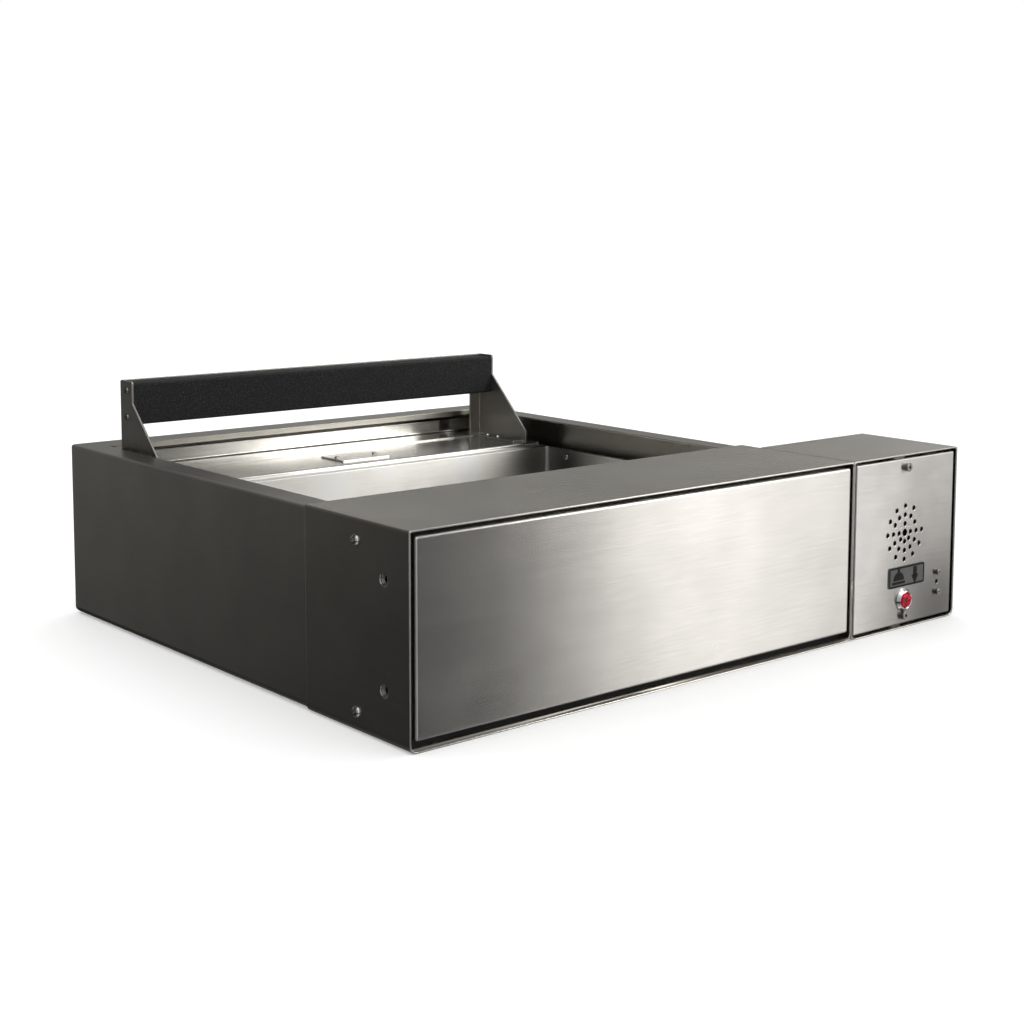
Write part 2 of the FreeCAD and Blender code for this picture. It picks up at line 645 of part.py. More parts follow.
def make_seal():
    """A picture frame welded inside the bezel, and the rubber seal on its front."""
    for label, y, thick, shrink in (("seal_frame", "seal_y + seal_thick", "gauge", "0"),
                                    ("weather_seal", "seal_y", "seal_thick", "fit_gap")):
        ring = rounded(f"-bezel_half + gauge + {shrink}", y, f"gauge + {shrink}",
                       f"bezel_width - 2 * gauge - 2 * {shrink}", thick,
                       f"unit_height - 2 * gauge - 2 * {shrink}",
                       (along("y", z=-1), "bezel_round - gauge"),
                       (along("y", z=1), "weld_fillet"))
        opening = box("-bezel_half + gauge + seal_side", f"{y} - gauge", "gauge + seal_low",
                      "bezel_width - 2 * gauge - 2 * seal_side", f"{thick} + 2 * gauge",
                      "unit_height - 2 * gauge - seal_low - seal_top")
        notches = box(f"-({NOTCH_HALF})", f"{y} - gauge",
                      f"slide_z - {MID_HIGH} / 2 - slide_pass", f"2 * ({NOTCH_HALF})",
                      f"{thick} + 2 * gauge", f"{MID_HIGH} + 2 * slide_pass")
        node(cut(ring, opening, notches), label)


def make_bumpers():
    """Rubber buffers on the back wall, where the drawer's upstand comes to rest."""
    middle = "(deck_top + upstand_top) / 2"
    reach = "housing_back - gauge - carcass_back - run_gap"
    pads = [rod("y", f"{side} * bracket_half / 2", "carcass_back + run_gap", middle, "6", reach)
            for side in ("-1", "1")]
    joined = fuse(*pads)
    node(joined, "rear_bumpers")


# ---------------------------------------------------------------- telescopic slides
SHANK = "small_screw_d / 2 + screw_fit"
def channel(web, tip, high, mirrored):
    """A channel section: web at one side, flanges reaching to the tip."""
    inside = f"{web} - slide_gauge" if mirrored else f"{web} + slide_gauge"
    low = f"(slide_high - {high}) / 2"
    top = f"(slide_high + {high}) / 2"
    return [(web, low), (tip, low), (tip, f"{low} + slide_gauge"),
            (inside, f"{low} + slide_gauge"), (inside, f"{top} - slide_gauge"),
            (tip, f"{top} - slide_gauge"), (tip, top), (web, top)]


def to_side(corners, side):
    """Section corners as X and Z formulas at the left (-1) or right (1) wall."""
    return [(f"{side} * (wall_in - ({across}))", f"slide_z - slide_high / 2 + {up}")
            for across, up in corners]


MEMBERS = (
    ("slide_outer", channel("0", "9", "slide_high", False)),
    ("slide_mid", channel(MID_WEB, "14.5", MID_HIGH, False)),
    ("slide_inner", channel("slide_thick", "8.5", INNER_HIGH, True)),
)


def make_slides():
    """Three nested members a side; the inner one carries the drawer."""
    for side, word in (("-1", "left"), ("1", "right")):
        for name, section in MEMBERS:
            member = padded("xz", to_side(section, side), "slide_long", y="slide_front")
            if name == "slide_inner":
                member = cut(member, *slide_screw_pins(side))
            node(member, f"{name}_{word}")


def slide_screw_places():
    """How far back from the slide's front each of its screws lies."""
    first = size("slide_screw_set")
    step = (size("slide_long") - 2 * first) / (size("slide_screw_count") - 1)
    return [first + step * index for index in range(int(size("slide_screw_count")))]


def slide_screw_pins(side):
    """The space that one side's slide screws take in the inner member and the carcass."""
    return [rod("x", f"{side} * carcass_half - 3 * gauge",
                f"slide_front + slide_screw_set + {index} * (slide_long - 2 * slide_screw_set)"
                " / (slide_screw_count - 1)", "slide_z", SHANK, "6 * gauge")
            for index in range(int(size("slide_screw_count")))]


def make_slide_screws():
    """Domed screws through each inner member into the carcass."""
    screw = button_screw(size("small_screw_d"), size("small_head_d"), size("small_head_high"),
                         size("slide_gauge") + size("gauge"))
    seat = size("carcass_half") + size("slide_gauge")
    group("slide_screws", [placed(screw, (side * seat, size("slide_front") + y, size("slide_z")),
                                  (side, 0, 0)) for side in (-1, 1) for y in slide_screw_places()])


def make_cages():
    """Ball cages between the members: a thin channel with a row of balls in each race."""
    start = "slide_front + stroke / 4"
    long = "(slide_long - stroke / 2)"
    races = (
        ("cage_outer", "slide_gauge + run_gap", "8", "slide_high - 2 * slide_gauge - race_gap",
         "6.2"),
        ("cage_inner", f"{MID_WEB} + slide_gauge + run_gap", "13.2",
         "slide_high - 4 * slide_gauge - 3 * race_gap", "11.4"),
    )
    for side, word in (("-1", "left"), ("1", "right")):
        for name, web, tip, spread, ball_at in races:
            low = f"((slide_high - ({spread}) - cage_gauge) / 2)"
            top = f"((slide_high + ({spread}) + cage_gauge) / 2)"
            inside = f"{web} + cage_gauge"
            section = [(web, low), (tip, low), (tip, f"{low} + cage_gauge"),
                       (inside, f"{low} + cage_gauge"), (inside, f"{top} - cage_gauge"),
                       (tip, f"{top} - cage_gauge"), (tip, top), (web, top)]
            strip = padded("xz", to_side(section, side), long, y=start)
            balls = []
            for row in ("-1", "1"):
                for index in range(int(size("ball_count"))):
                    ball = doc.addObject("Part::Sphere", "Ball")
                    share = f"({index} + 0.5) / ball_count"
                    bind(ball, Radius="ball_d / 2", x=f"{side} * (wall_in - {ball_at})",
                         y=f"{start} + {long} * {share}",
                         z=f"slide_z + {row} * ({spread}) / 2")
                    balls.append(ball)
            node(fuse(strip, *balls), f"{name}_{word}")


# ---------------------------------------------------------------- drawer body
FRONT_SCREWS = [(f"{side} * front_screw_x", z) for side in ("-1", "1")
                for z in ("front_screw_low", "front_screw_high")]


def front_screw_pins():
    """The space that the front screws take in the bin's and the carcass's front walls."""
    return [rod("y", x, "carcass_front - gauge / 2", z, SHANK, "4 * gauge")
            for x, z in FRONT_SCREWS]


def make_drawer_front():
    """The front: a shallow pan with softened edges, open to the back."""
    skin = rounded("panel_shift - panel_half", "panel_y", "panel_low", "2 * panel_half", "panel_fold",
                   "panel_top - panel_low",
                   (along("y"), "panel_round"), (ring_at_front, "panel_round * 0.95"))
    hollow = rounded("panel_shift - panel_half + gauge", "carcass_front", "panel_low + gauge",
                     "2 * panel_half - 2 * gauge", "panel_fold",
                     "panel_top - panel_low - 2 * gauge", (along("y"), "panel_round - gauge"))
    node(cut(skin, hollow), "drawer_front")


def ring_at_front(shape):
    """Every edge of a block's front face."""
    low = shape.BoundBox.YMin
    return [f"Edge{index}" for index, edge in enumerate(shape.Edges, 1)
            if edge.BoundBox.YMax < low + 1e-3]


def make_carcass():
    """The outer tray that the slides carry: floor, sides, front and back walls."""
    skin = rounded("-carcass_half", "carcass_front", "body_base", "2 * carcass_half",
                   "carcass_back - carcass_front", "carcass_top - body_base",
                   (along("y", z=-1), "fold_round"))
    hollow = rounded("-carcass_half + gauge", "carcass_front + gauge", "body_base + gauge",
                     "2 * carcass_half - 2 * gauge", "carcass_back - carcass_front - 2 * gauge",
                     "carcass_top - body_base", (along("y", z=-1), "fold_round - gauge"))
    back = box("-carcass_half", "carcass_back - gauge", "carcass_top - gauge",
               "2 * carcass_half", "gauge", "deck_top - carcass_top + gauge")
    rises = [box(x, "ledge_back", "carcass_top - gauge", "gauge",
                 "carcass_back - bin_wall_y - ledge_deep", "2 * gauge")
             for x in ("-carcass_half", "carcass_half - gauge")]
    pins = [wall_screw_pin(), *front_screw_pins(), *slide_screw_pins("-1"),
            *slide_screw_pins("1")]
    node(fuse(cut(skin, hollow, *pins), back, *rises), "carcass")


def wall_screw_pin():
    """The space that the two bin wall screws take, right across the drawer."""
    return rod("x", "-carcass_half - gauge", "bin_wall_y - wall_screw_back",
               "bin_top - wall_screw_drop", SHANK, "2 * carcass_half + 2 * gauge")


def make_bin():
    """The deposit bin: a deep tray with rounded corners, a rim and a ledge behind."""
    tub = rounded("-bin_half", "bin_front", "bin_base", "2 * bin_half",
                  "bin_wall_y + gauge - bin_front", "bin_top - bin_base",
                  (along("z"), "bin_round + gauge"), (along("y", z=-1), "bin_round + gauge"))
    hollow = rounded("-bin_half + gauge", "bin_front + gauge", "bin_base + gauge",
                     "2 * bin_half - 2 * gauge", "bin_wall_y - bin_front - gauge",
                     "bin_top - bin_base", (along("z"), "bin_round"),
                     (along("y", z=-1), "bin_round"))
    rim = rounded("-carcass_half", "carcass_front", "carcass_top", "2 * carcass_half",
                  "ledge_back - carcass_front", "gauge",
                  (along("z", y=1), "deck_round"))
    node(cut(fuse(tub, rim), hollow, wall_screw_pin(), *front_screw_pins()), "bin")
    screw = button_screw(size("small_screw_d"), size("small_head_d"), size("small_head_high"),
                         size("wall_screw_long"))
    inside = size("bin_half") - size("gauge")
    y = size("bin_wall_y") - size("wall_screw_back")
    z = size("bin_top") - size("wall_screw_drop")
    group("bin_screws", [placed(screw, (side * inside, y, z), (-side, 0, 0))
                         for side in (-1, 1)])


def make_front_screws():
    """Four domed screws from inside the bin that hold the drawer front."""
    seat = size("bin_front") + size("gauge")
    screw = button_screw(size("small_screw_d"), size("small_head_d"), size("small_head_high"),
                         seat - size("carcass_front"))
    group("front_screws", [placed(screw, (side * size("front_screw_x"), seat, size(z)), (0, 1, 0))
                           for side in (-1, 1) for z in ("front_screw_low", "front_screw_high")])


def make_deck():
    """Two deck plates behind the bin: a lipped cover, and a rear one with an upstand."""
    skin = rounded("-carcass_half", "deck_y", "bin_top", "2 * carcass_half",
                   "seam_y + deck_overlap - deck_y", "deck_top - bin_top",
                   (along("z", y=-1), "deck_corner"), (along("x", y=-1, z=1), "deck_round"))
    hollow = rounded("-carcass_half + gauge", "deck_y + gauge", "bin_top - gauge",
                     "2 * carcass_half - 2 * gauge", "seam_y + deck_overlap - deck_y",
                     "deck_top - bin_top", (along("z", y=-1), "deck_corner - gauge"))
    node(cut(skin, hollow, *plate_pins(), *foot_pins()), "deck_cover")
    reach = "carcass_back - seam_y"
    rise = "upstand_top - deck_top"
    rear = padded("yz", [("0", "0"), (reach, "0"), (reach, rise), (f"{reach} - gauge", rise),
                         (f"{reach} - gauge", "gauge"), ("0", "gauge")],
                  "2 * carcass_half", x="-carcass_half", y="seam_y", z="deck_top")
    node(soften(rear, inner_fold, "fold_round"), "deck_rear")


def inner_fold(shape):
    """The concave edge of an L-shaped section, the one nearest to the body's middle height."""
    names = along("x")(shape)
    back = shape.BoundBox.YMax
    low = shape.BoundBox.ZMin
    return [name for name in names
            if shape.getElement(name).CenterOfMass.y > back - 2 * size("gauge")
            and shape.getElement(name).CenterOfMass.y < back - size("gauge") / 2
            and shape.getElement(name).CenterOfMass.z < low + 2 * size("gauge")]


# ---------------------------------------------------------------- handle
def bracket(side):
    """A gusset: a web that widens to the front, a flange behind the bar and a foot."""
    neck_y = "bracket_y - bracket_neck - gusset_y"
    back_y = "bracket_y - gusset_y"
    step_y = "seam_y - gusset_y - run_gap"
    web = padded("yz", [("0", "0"), (step_y, "0"), (step_y, "gauge"), (back_y, "gauge"),
                        (back_y, "bracket_top - deck_top"), (neck_y, "bracket_top - deck_top"),
                        (neck_y, "neck_low - deck_top"), ("0", "knee_high")],
                 "bracket_gauge", y="gusset_y", z="deck_top",
                 x=f"{side} * (bracket_half - bracket_gauge / 2) - bracket_gauge / 2")
    soften(web, along("x", z=1), "bracket_round")
    inward = f"{side} * (bracket_in - bracket_flange / 2) - bracket_flange / 2"
    flange = box(inward, "bracket_y - bracket_gauge", "deck_top + gauge", "bracket_flange",
                 "bracket_gauge", "bracket_top - deck_top - gauge")
    foot = box(inward, "gusset_y + foot_set", "deck_top", "bracket_flange",
               "seam_y - gusset_y - 2 * foot_set", "bracket_gauge")
    return cut(fuse(web, flange, foot), *bar_pins(), *foot_pins())


def bar_pins():
    """The space that the bar's screws take, through the webs and the rear flanges."""
    pins = []
    for z in ("bar_low + bar_screw_edge", "bar_top - bar_screw_edge"):
        pins.append(rod("x", "-bracket_half - gauge", "bar_mid_y", z, SHANK,
                        "bracket_gauge + gauge + small_screw_long"))
        pins.append(rod("x", "bracket_in - small_screw_long", "bar_mid_y", z, SHANK,
                        "bracket_gauge + gauge + small_screw_long"))
        for side in ("-1", "1"):
            pins.append(rod("y", f"{side} * flange_screw_x",
                            "bracket_y - bracket_gauge - small_screw_long", z, SHANK,
                            "bracket_gauge + gauge + small_screw_long"))
    return pins


def foot_pins():
    """The space that the foot screws take in the feet and the deck."""
    return [rod("z", f"{side} * flange_screw_x", f"foot_mid_y + {end} * foot_screw_span / 2",
                "bin_top", SHANK, "deck_top - bin_top + 2 * bracket_gauge")
            for side in ("-1", "1") for end in ("-1", "1")]


def make_handle():
    """Two brackets, the bar between them, the strip behind it, and their screws."""
    node(bracket("-1"), "bracket_left")
    node(bracket("1"), "bracket_right")
    bar = rounded("-bracket_in", "bracket_y - bracket_neck", "bar_low", "2 * bracket_in",
                  "bar_thick", "bar_high", (along("x"), "bar_round"))
    node(cut(bar, *bar_pins()), "handle_bar")
    strip_half = "(bracket_in - bracket_flange)"
    node(box(f"-{strip_half}", "bracket_y - bracket_gauge", "bar_low", f"2 * {strip_half}",
             "bracket_gauge", "bracket_top - bar_low"), "handle_strip")
    head = (size("small_screw_d"), size("small_head_d"), size("small_head_high"))
    reach = size("small_screw_long")
    web_screw = button_screw(*head, reach)
    foot_screw = button_screw(*head, size("bracket_gauge") + size("gauge"))
    heights = (size("bar_low") + size("bar_screw_edge"), size("bar_top") - size("bar_screw_edge"))
    screws = []
    feet = []
    for side in (-1, 1):
        for z in heights:
            screws.append(placed(web_screw, (side * size("bracket_half"), size("bar_mid_y"), z),
                                 (side, 0, 0)))
            screws.append(placed(web_screw, (side * size("flange_screw_x"), size("bracket_y"), z),
                                 (0, 1, 0)))
        for end in (-1, 1):
            y = size("foot_mid_y") + end * size("foot_screw_span") / 2
            feet.append(placed(foot_screw, (side * size("flange_screw_x"), y,
                                            size("deck_top") + size("bracket_gauge")), (0, 0, 1)))
    group("handle_screws", screws)
    group("foot_screws", feet)


# ---------------------------------------------------------------- nameplate
def plate_pins():
    """The space that the nameplate's two screws take in it and the deck."""
    return [rod("z", f"plate_x + {side} * plate_screw_span / 2", "plate_y", "bin_top",
                "plate_screw_d / 2 + screw_fit", "deck_top - bin_top + 2 * plate_thick")
            for side in ("-1", "1")]


def make_nameplate():
    """A blank rectangular plate on the deck, with two small screws."""
    plate = rounded("plate_x - plate_wide / 2", "plate_y - plate_deep / 2", "deck_top",
                    "plate_wide", "plate_deep", "plate_thick", (along("z"), "plate_round"))
    node(cut(plate, *plate_pins()), "nameplate")
    screw = button_screw(size("plate_screw_d"), size("plate_head_d"), size("plate_head_high"),
                         size("plate_thick") + size("gauge"))
    spots = [(size("plate_x") + side * size("plate_screw_span") / 2,
              size("plate_y"), size("deck_top") + size("plate_thick"))
             for side in (-1, 1)]
    group("nameplate_screws", [placed(screw, spot, (0, 0, 1)) for spot in spots])


# ---------------------------------------------------------------- call unit
FACE_SCREW_ZS = ("face_screw_edge", "unit_height - face_screw_edge")
MIC_SCREW_ZS = ("mic_z - mic_screw_span / 2", "mic_z + mic_screw_span / 2")
BACK_XS = ("unit_left + gauge + tab_size / 2", "unit_left + unit_width - gauge - tab_size / 2")
BACK_ZS = ("bezel_round + tab_size / 2", "unit_height - gauge - tab_size / 2")
STUDS = [(f"{x} * stud_ring * cos(45)", f"{z} * stud_ring * sin(45)")
         for x in ("-1", "1") for z in ("-1", "1")]
RING_COUNTS = {1: 8, 2: 12, 3: 12}
UNPIERCED = ((1, 1), (1, 7), (3, 2))


def worked_out(text):
    """The value of a formula over the named sizes, as a number."""
    holder = doc.getObject("Scratch") or doc.addObject("App::FeaturePython", "Scratch")
    if not hasattr(holder, "value"):
        holder.addProperty("App::PropertyFloat", "value")
    holder.setExpression("value", formula(text))
    holder.recompute()
    return holder.value


def face_hole(x, z, radius):
    """A hole right through the face plate."""
    return rod("y", x, "face_y - gauge", z, radius, "3 * gauge")


def unit_side_holes():
    """Holes in the call unit's inner wall: two bolt holes and two pockets over screw heads."""
    bolt_holes = [rod("x", "unit_left - gauge", "hole_y", z, "screw_d / 2 + screw_fit",
                      "3 * gauge") for z in SIDE_HOLE_ZS]
    pockets = [rod("x", "unit_left - gauge", "side_y", z, "head_d / 2 + head_pass", "3 * gauge")
               for z in SIDE_SCREW_ZS]
    return bolt_holes + pockets


def face_screw_pins():
    """The space that the two face screws take in the face plate and its tabs."""
    return [rod("y", "unit_mid", "face_y - gauge", z, "face_screw_d / 2 + screw_fit",
                "face_fold + 5 * gauge") for z in FACE_SCREW_ZS]


def back_screw_pins():
    """The space that the back cover's four screws take in it and its tabs."""
    return [rod("y", x, "unit_back - 4 * gauge", z, SHANK, "5 * gauge")
            for x in BACK_XS for z in BACK_ZS]


def make_unit_shell():
    """The call unit's sleeve, with welded tabs for the face plate and the back cover."""
    skin = rounded("unit_left", "front_y", "0", "unit_width", "unit_depth", "unit_height",
                   (along("y", z=-1), "bezel_round"), (along("y", z=1), "weld_round"))
    hollow = rounded("unit_left + gauge", "front_y - gauge", "gauge", "unit_width - 2 * gauge",
                     "unit_depth + 2 * gauge", "unit_height - 2 * gauge",
                     (along("y", z=-1), "bezel_round - gauge"), (along("y", z=1), "weld_fillet"))
    tabs = []
    for z in ("gauge / 2", "unit_height - gauge / 2 - face_screw_edge - tab_beyond"):
        tabs.append(box("unit_mid - tab_size / 2", "face_y + face_fold + fit_gap", z, "tab_size",
                        "2 * gauge", "face_screw_edge + tab_beyond"))
    for x in ("unit_left + gauge / 2", "unit_left + unit_width - gauge / 2 - tab_size"):
        for z in ("unit_height - gauge / 2 - tab_size", "gauge / 2 + bezel_round"):
            tabs.append(box(x, "unit_back - 3 * gauge", z, "tab_size", "gauge", "tab_size"))
    tools = unit_side_holes() + face_screw_pins() + back_screw_pins()
    node(cut(fuse(cut(skin, hollow), *tabs), *tools), "unit_shell")


def make_unit_back():
    """The flat back cover, its screws, and the grommet where the cable leaves."""
    plate = rounded("unit_left + gauge + fit_gap", "back_y - gauge", "gauge + fit_gap",
                    "unit_width - 2 * gauge - 2 * fit_gap", "gauge",
                    "unit_height - 2 * gauge - 2 * fit_gap",
                    (along("y", z=-1), "bezel_round - gauge"), (along("y", z=1), "weld_fillet"))
    entry = rod("y", "grommet_mid", "unit_back - 4 * gauge", "grommet_z",
                "cable_d / 2 + grommet_neck", "5 * gauge")
    node(cut(plate, entry, *back_screw_pins()), "unit_back_cover")
    screw = button_screw(size("small_screw_d"), size("small_head_d"), size("small_head_high"),
                         3 * size("gauge"))
    group("back_cover_screws",
          [placed(screw, (worked_out(x), size("back_y"), worked_out(z)), (0, 1, 0))
           for x in BACK_XS for z in BACK_ZS])
    bore = "cable_d / 2"
    neck = f"{bore} + grommet_neck"
    brim = f"{bore} + grommet_brim"
    lip = "(grommet_long - gauge) / 2"
    grommet = turned([(bore, "0"), (brim, "0"), (brim, lip), (neck, lip),
                      (neck, f"{lip} + gauge"), (brim, f"{lip} + gauge"), (brim, "grommet_long"),
                      (bore, "grommet_long")],
                     x="grommet_mid", y=f"back_y + {lip}", z="grommet_z")
    node(facing_front(grommet), "cable_grommet")


def sound_holes():
    """Rings of round holes about a larger one, with three places only punch marked."""
    holes = [face_hole("unit_mid", "speaker_z", "centre_hole_d / 2")]
    for ring, count in RING_COUNTS.items():
        for place in range(int(count)):
            turn = f"{place} * 360 / {count}"
            x = f"unit_mid + {ring} * ring_pitch * sin({turn})"
            z = f"speaker_z + {ring} * ring_pitch * cos({turn})"
            if (ring, place) in UNPIERCED:
                holes.append(rod("y", x, "face_y - gauge", z, "punch_d / 2", "1.5 * gauge"))
            else:
                holes.append(face_hole(x, z, "sound_hole_d / 2"))
    return holes


def make_face_plate():
    """The face plate: a shallow pan with sound holes and the loudspeaker's four studs."""
    skin = rounded("face_left", "face_y", "face_low", "face_wide", "face_fold", "face_high",
                   (along("y"), "face_round"), (ring_at_front, "face_round * 0.9"))
    hollow = rounded("face_left + gauge", "face_back", "face_low + gauge",
                     "face_wide - 2 * gauge", "face_fold", "face_high - 2 * gauge",
                     (along("y"), "face_round / 2"))
    openings = [face_hole("unit_mid", "button_z", "barrel_d / 2 + screw_fit"),
                face_hole("mic_mid", "mic_z", "mic_hole_d / 2")]
    openings += [face_hole("mic_mid", z, "mic_screw_d / 2 + screw_fit") for z in MIC_SCREW_ZS]
    pan = cut(skin, hollow, *openings, *face_screw_pins(), *sound_holes())
    studs = [rod("y", f"unit_mid + {x}", "face_back - gauge / 2", f"speaker_z + {z}",
                 "stud_d / 2", "stud_long + gauge / 2") for x, z in STUDS]
    node(fuse(pan, *studs), "face_plate")


def make_face_screws():
    """The face plate's two tall screws and the two small ones beside the microphone."""
    big = cap_screw(size("face_screw_d"), size("face_head_d"), size("face_head_high"),
                    size("face_fold") + 3 * size("gauge"))
    small = cap_screw(size("mic_screw_d"), size("mic_head_d"), size("mic_head_high"),
                      size("mic_screw_long"))
    group("face_screws",
          [placed(big, (size("unit_mid"), size("face_y"), worked_out(z)), (0, -1, 0))
           for z in FACE_SCREW_ZS])
    group("microphone_screws",
          [placed(small, (size("mic_mid"), size("face_y"), worked_out(z)), (0, -1, 0))
           for z in MIC_SCREW_ZS])


def make_microphone():
    """A round capsule in a holder bar behind the face plate."""
    holder = box("mic_mid - holder_wide / 2", "face_back",
                 "mic_z - mic_screw_span / 2 - holder_wide / 2", "holder_wide", "capsule_long",
                 "mic_screw_span + holder_wide")
    pins = [rod("y", "mic_mid", "face_back - gauge", z, "mic_screw_d / 2 + screw_fit",
                "capsule_long + 2 * gauge") for z in MIC_SCREW_ZS]
    seat = rod("y", "mic_mid", "face_back - gauge", "mic_z", "capsule_d / 2",
               "capsule_long + 2 * gauge")
    node(cut(holder, seat, *pins), "microphone_holder")
    node(rod("y", "mic_mid", "face_back", "mic_z", "capsule_d / 2 - screw_fit", "capsule_long"),
         "microphone")


def make_speaker():
    """Gasket, basket, cone and magnet of the loudspeaker, and the nuts on its studs."""
    rim = "speaker_d / 2"
    lip = f"{rim} - speaker_rim"
    neck = "cone_neck_d / 2"
    magnet = "magnet_d / 2"
    back = "speaker_deep - magnet_thick"
    seat = "gasket_thick"
    place = {"x": "unit_mid", "y": "face_back", "z": "speaker_z"}
    gasket = turned([(lip, "0"), (rim, "0"), (rim, f"-{seat}"), (lip, f"-{seat}")], **place)
    node(facing_front(gasket), "speaker_gasket")
    basket = turned([(lip, f"-{seat}"), (rim, f"-{seat}"), (rim, f"-{seat} - basket_gauge"),
                     (f"{lip} + basket_gauge", f"-{seat} - basket_gauge"),
                     (f"{magnet} + basket_gauge", f"-({back})"), (neck, f"-({back})"),
                     (neck, f"-({back}) + basket_gauge"), (magnet, f"-({back}) + basket_gauge"),
                     (lip, f"-{seat} - basket_gauge")], **place)
    node(facing_front(basket), "speaker_frame")
    inner = f"{lip} - run_gap"
    front = f"-{seat} - screw_fit"
    cone = turned([(inner, front), (inner, f"{front} - basket_gauge"),
                   (f"{neck} - screw_fit", f"-({back}) + 2.5 * basket_gauge"),
                   ("0", f"-({back}) + 4 * basket_gauge"), ("0", f"-({back}) + 5 * basket_gauge"),
                   (neck, f"-({back}) + 3.5 * basket_gauge"),
                   (f"{lip} - 3 * basket_gauge", front)], **place)
    node(facing_front(cone), "speaker_cone")
    block = turned([("0", "-speaker_deep"), (magnet, "-speaker_deep"), (magnet, f"-({back})"),
                    ("0", f"-({back})")], **place)
    node(facing_front(block), "speaker_magnet")
    nut = rivet_nut(size("stud_d") + 2 * size("screw_fit"), size("stud_nut_d"),
                    size("stud_nut_high"))
    y = size("face_back") + size("gasket_thick") + size("basket_gauge")
    group("speaker_nuts",
          [placed(nut, (size("unit_mid") + worked_out(x), y, size("speaker_z") + worked_out(z)),
                  (0, -1, 0)) for x, z in STUDS])


def make_legend():
    """The legend plate on the face, bare, with rounded corners."""
    plate = rounded("unit_mid + legend_x - legend_wide / 2", "face_y - legend_thick",
                    "legend_z - legend_high / 2", "legend_wide", "legend_thick", "legend_high",
                    (along("y"), "legend_round"))
    node(plate, "legend_plate")


def make_button():
    """Push button: chromed bezel and barrel, lens with stem, ring nut and switch block."""
    place = {"x": "unit_mid", "y": "face_y", "z": "button_z"}
    well = "lens_d / 2 + run_gap"
    guide = "stem_d / 2 + run_gap"
    crest = "lens_d / 2 + run_gap + gauge / 3"
    body = turned([(well, "button_proud - run_gap"), (crest, "button_proud"),
                   ("button_rim_d / 2", "button_proud - run_gap / 2"),
                   ("button_base_d / 2", "button_proud / 4"), ("button_base_d / 2", "0"),
                   ("barrel_d / 2", "0"), ("barrel_d / 2", "-barrel_long"),
                   (guide, "-barrel_long"), (guide, "-well_deep"), (well, "-well_deep")], **place)
    node(facing_front(body), "button_bezel")
    top = "button_proud + lens_proud"
    lens = turned([("0", "-stem_long"), ("stem_d / 2", "-stem_long"),
                   ("stem_d / 2", "-well_deep + lens_travel + 1"),
                   ("lens_d / 2", "-well_deep + lens_travel + 1"), ("lens_d / 2", f"{top} - 1"),
                   ("lens_d / 2 - 1", top), ("0", f"{top} + 0.5")], **place)
    node(facing_front(lens), "button_lens")
    ring = hex_nut(size("barrel_d") + 2 * size("screw_fit"), size("ring_nut_across"),
                   size("ring_nut_high"))
    spot = (size("unit_mid"), size("face_back"), size("button_z"))
    group("button_nut", [placed(ring, spot, (0, 1, 0))])
    block = rounded("unit_mid - switch_wide / 2", "face_y + barrel_long",
                    "button_z - switch_wide / 2", "switch_wide", "switch_deep", "switch_wide",
                    (along("y"), "fold_round"))
    blades = [box(f"unit_mid + {side} * pin_span / 2 - pin_wide / 2",
                  "face_y + barrel_long + switch_deep", "button_z - pin_thick / 2", "pin_wide",
                  "pin_long", "pin_thick") for side in ("-1", "1")]
    node(fuse(block, *blades), "button_switch")


def make_terminals():
    """The terminal block on the inside of the back cover, with a row of screw wells."""
    left = "unit_mid + block_x - block_wide / 2"
    block = rounded(left, "back_y - gauge - block_deep", "block_z - block_high / 2",
                    "block_wide", "block_deep", "block_high", (along("x", y=-1), "fold_round"))
    wells = [rod("y", f"{left} + block_wide * ({pole} + 0.5) / block_poles",
                 "back_y - 2 * gauge - block_deep", "block_z + fold_round / 2", "pole_d / 2",
                 "pole_deep + gauge")
             for pole in range(int(size("block_poles")))]
    node(cut(block, *wells), "terminal_block")


def make_unit_bolts():
    """Two bolts from inside the call unit, through the bezel, into the housing's nuts."""
    bolt = button_screw(size("screw_d"), size("head_d"), size("head_high"), size("screw_long"))
    seat = size("unit_left") + size("gauge")
    group("unit_bolts", [placed(bolt, (seat, size("hole_y"), worked_out(z)), (1, 0, 0))
                         for z in SIDE_HOLE_ZS])


# ---------------------------------------------------------------- build and write
for make in (make_housing, make_bezel, make_side_fasteners, make_seal, make_bumpers, make_slides,
             make_slide_screws, make_cages, make_drawer_front, make_carcass, make_bin,
             make_front_screws, make_deck, make_handle, make_nameplate, make_unit_shell,
             make_unit_back, make_face_plate, make_face_screws, make_microphone, make_speaker,
             make_legend, make_button, make_terminals, make_unit_bolts):
    make()
doc.recompute()

for thing in doc.Objects:
    if {"Invalid", "Error"} & set(thing.State):
        raise RuntimeError(f"{thing.Label} failed to build")
for thing in FINISHED:
    if thing.Shape.isNull() or not thing.Shape.isValid() or not thing.Shape.Solids:
        raise RuntimeError(f"{thing.Label} has no valid solid")

os.makedirs("parts", exist_ok=True)
for thing in FINISHED:
    thing.Shape.exportStep(os.path.join("parts", f"{thing.Label}.step"))
    print(f"{thing.Label:20s} solids {len(thing.Shape.Solids):2d}  volume {thing.Shape.Volume:12.1f}")
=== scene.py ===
# %% [markdown]
# # A deposit drawer in brushed stainless steel
#
# A teller's deposit drawer is a folded steel box that runs out through a wall on ball slides.
# Its shape is already exact: it comes from the CAD model, in metres, with every sheet, slide
# member and set of screws as a mesh of its own.  What Blender adds here is the finish: how the
# steel was brushed, how its edges were dressed, and the light that it reflects.  So the first
# cell only loads the CAD meshes, with helpers for the box that a piece fills and for tying a
# made piece to a CAD body.  Nothing made later may stick out of it.

# %% Load the CAD model
import math

import bmesh
import bpy
from mathutils import Matrix, Vector


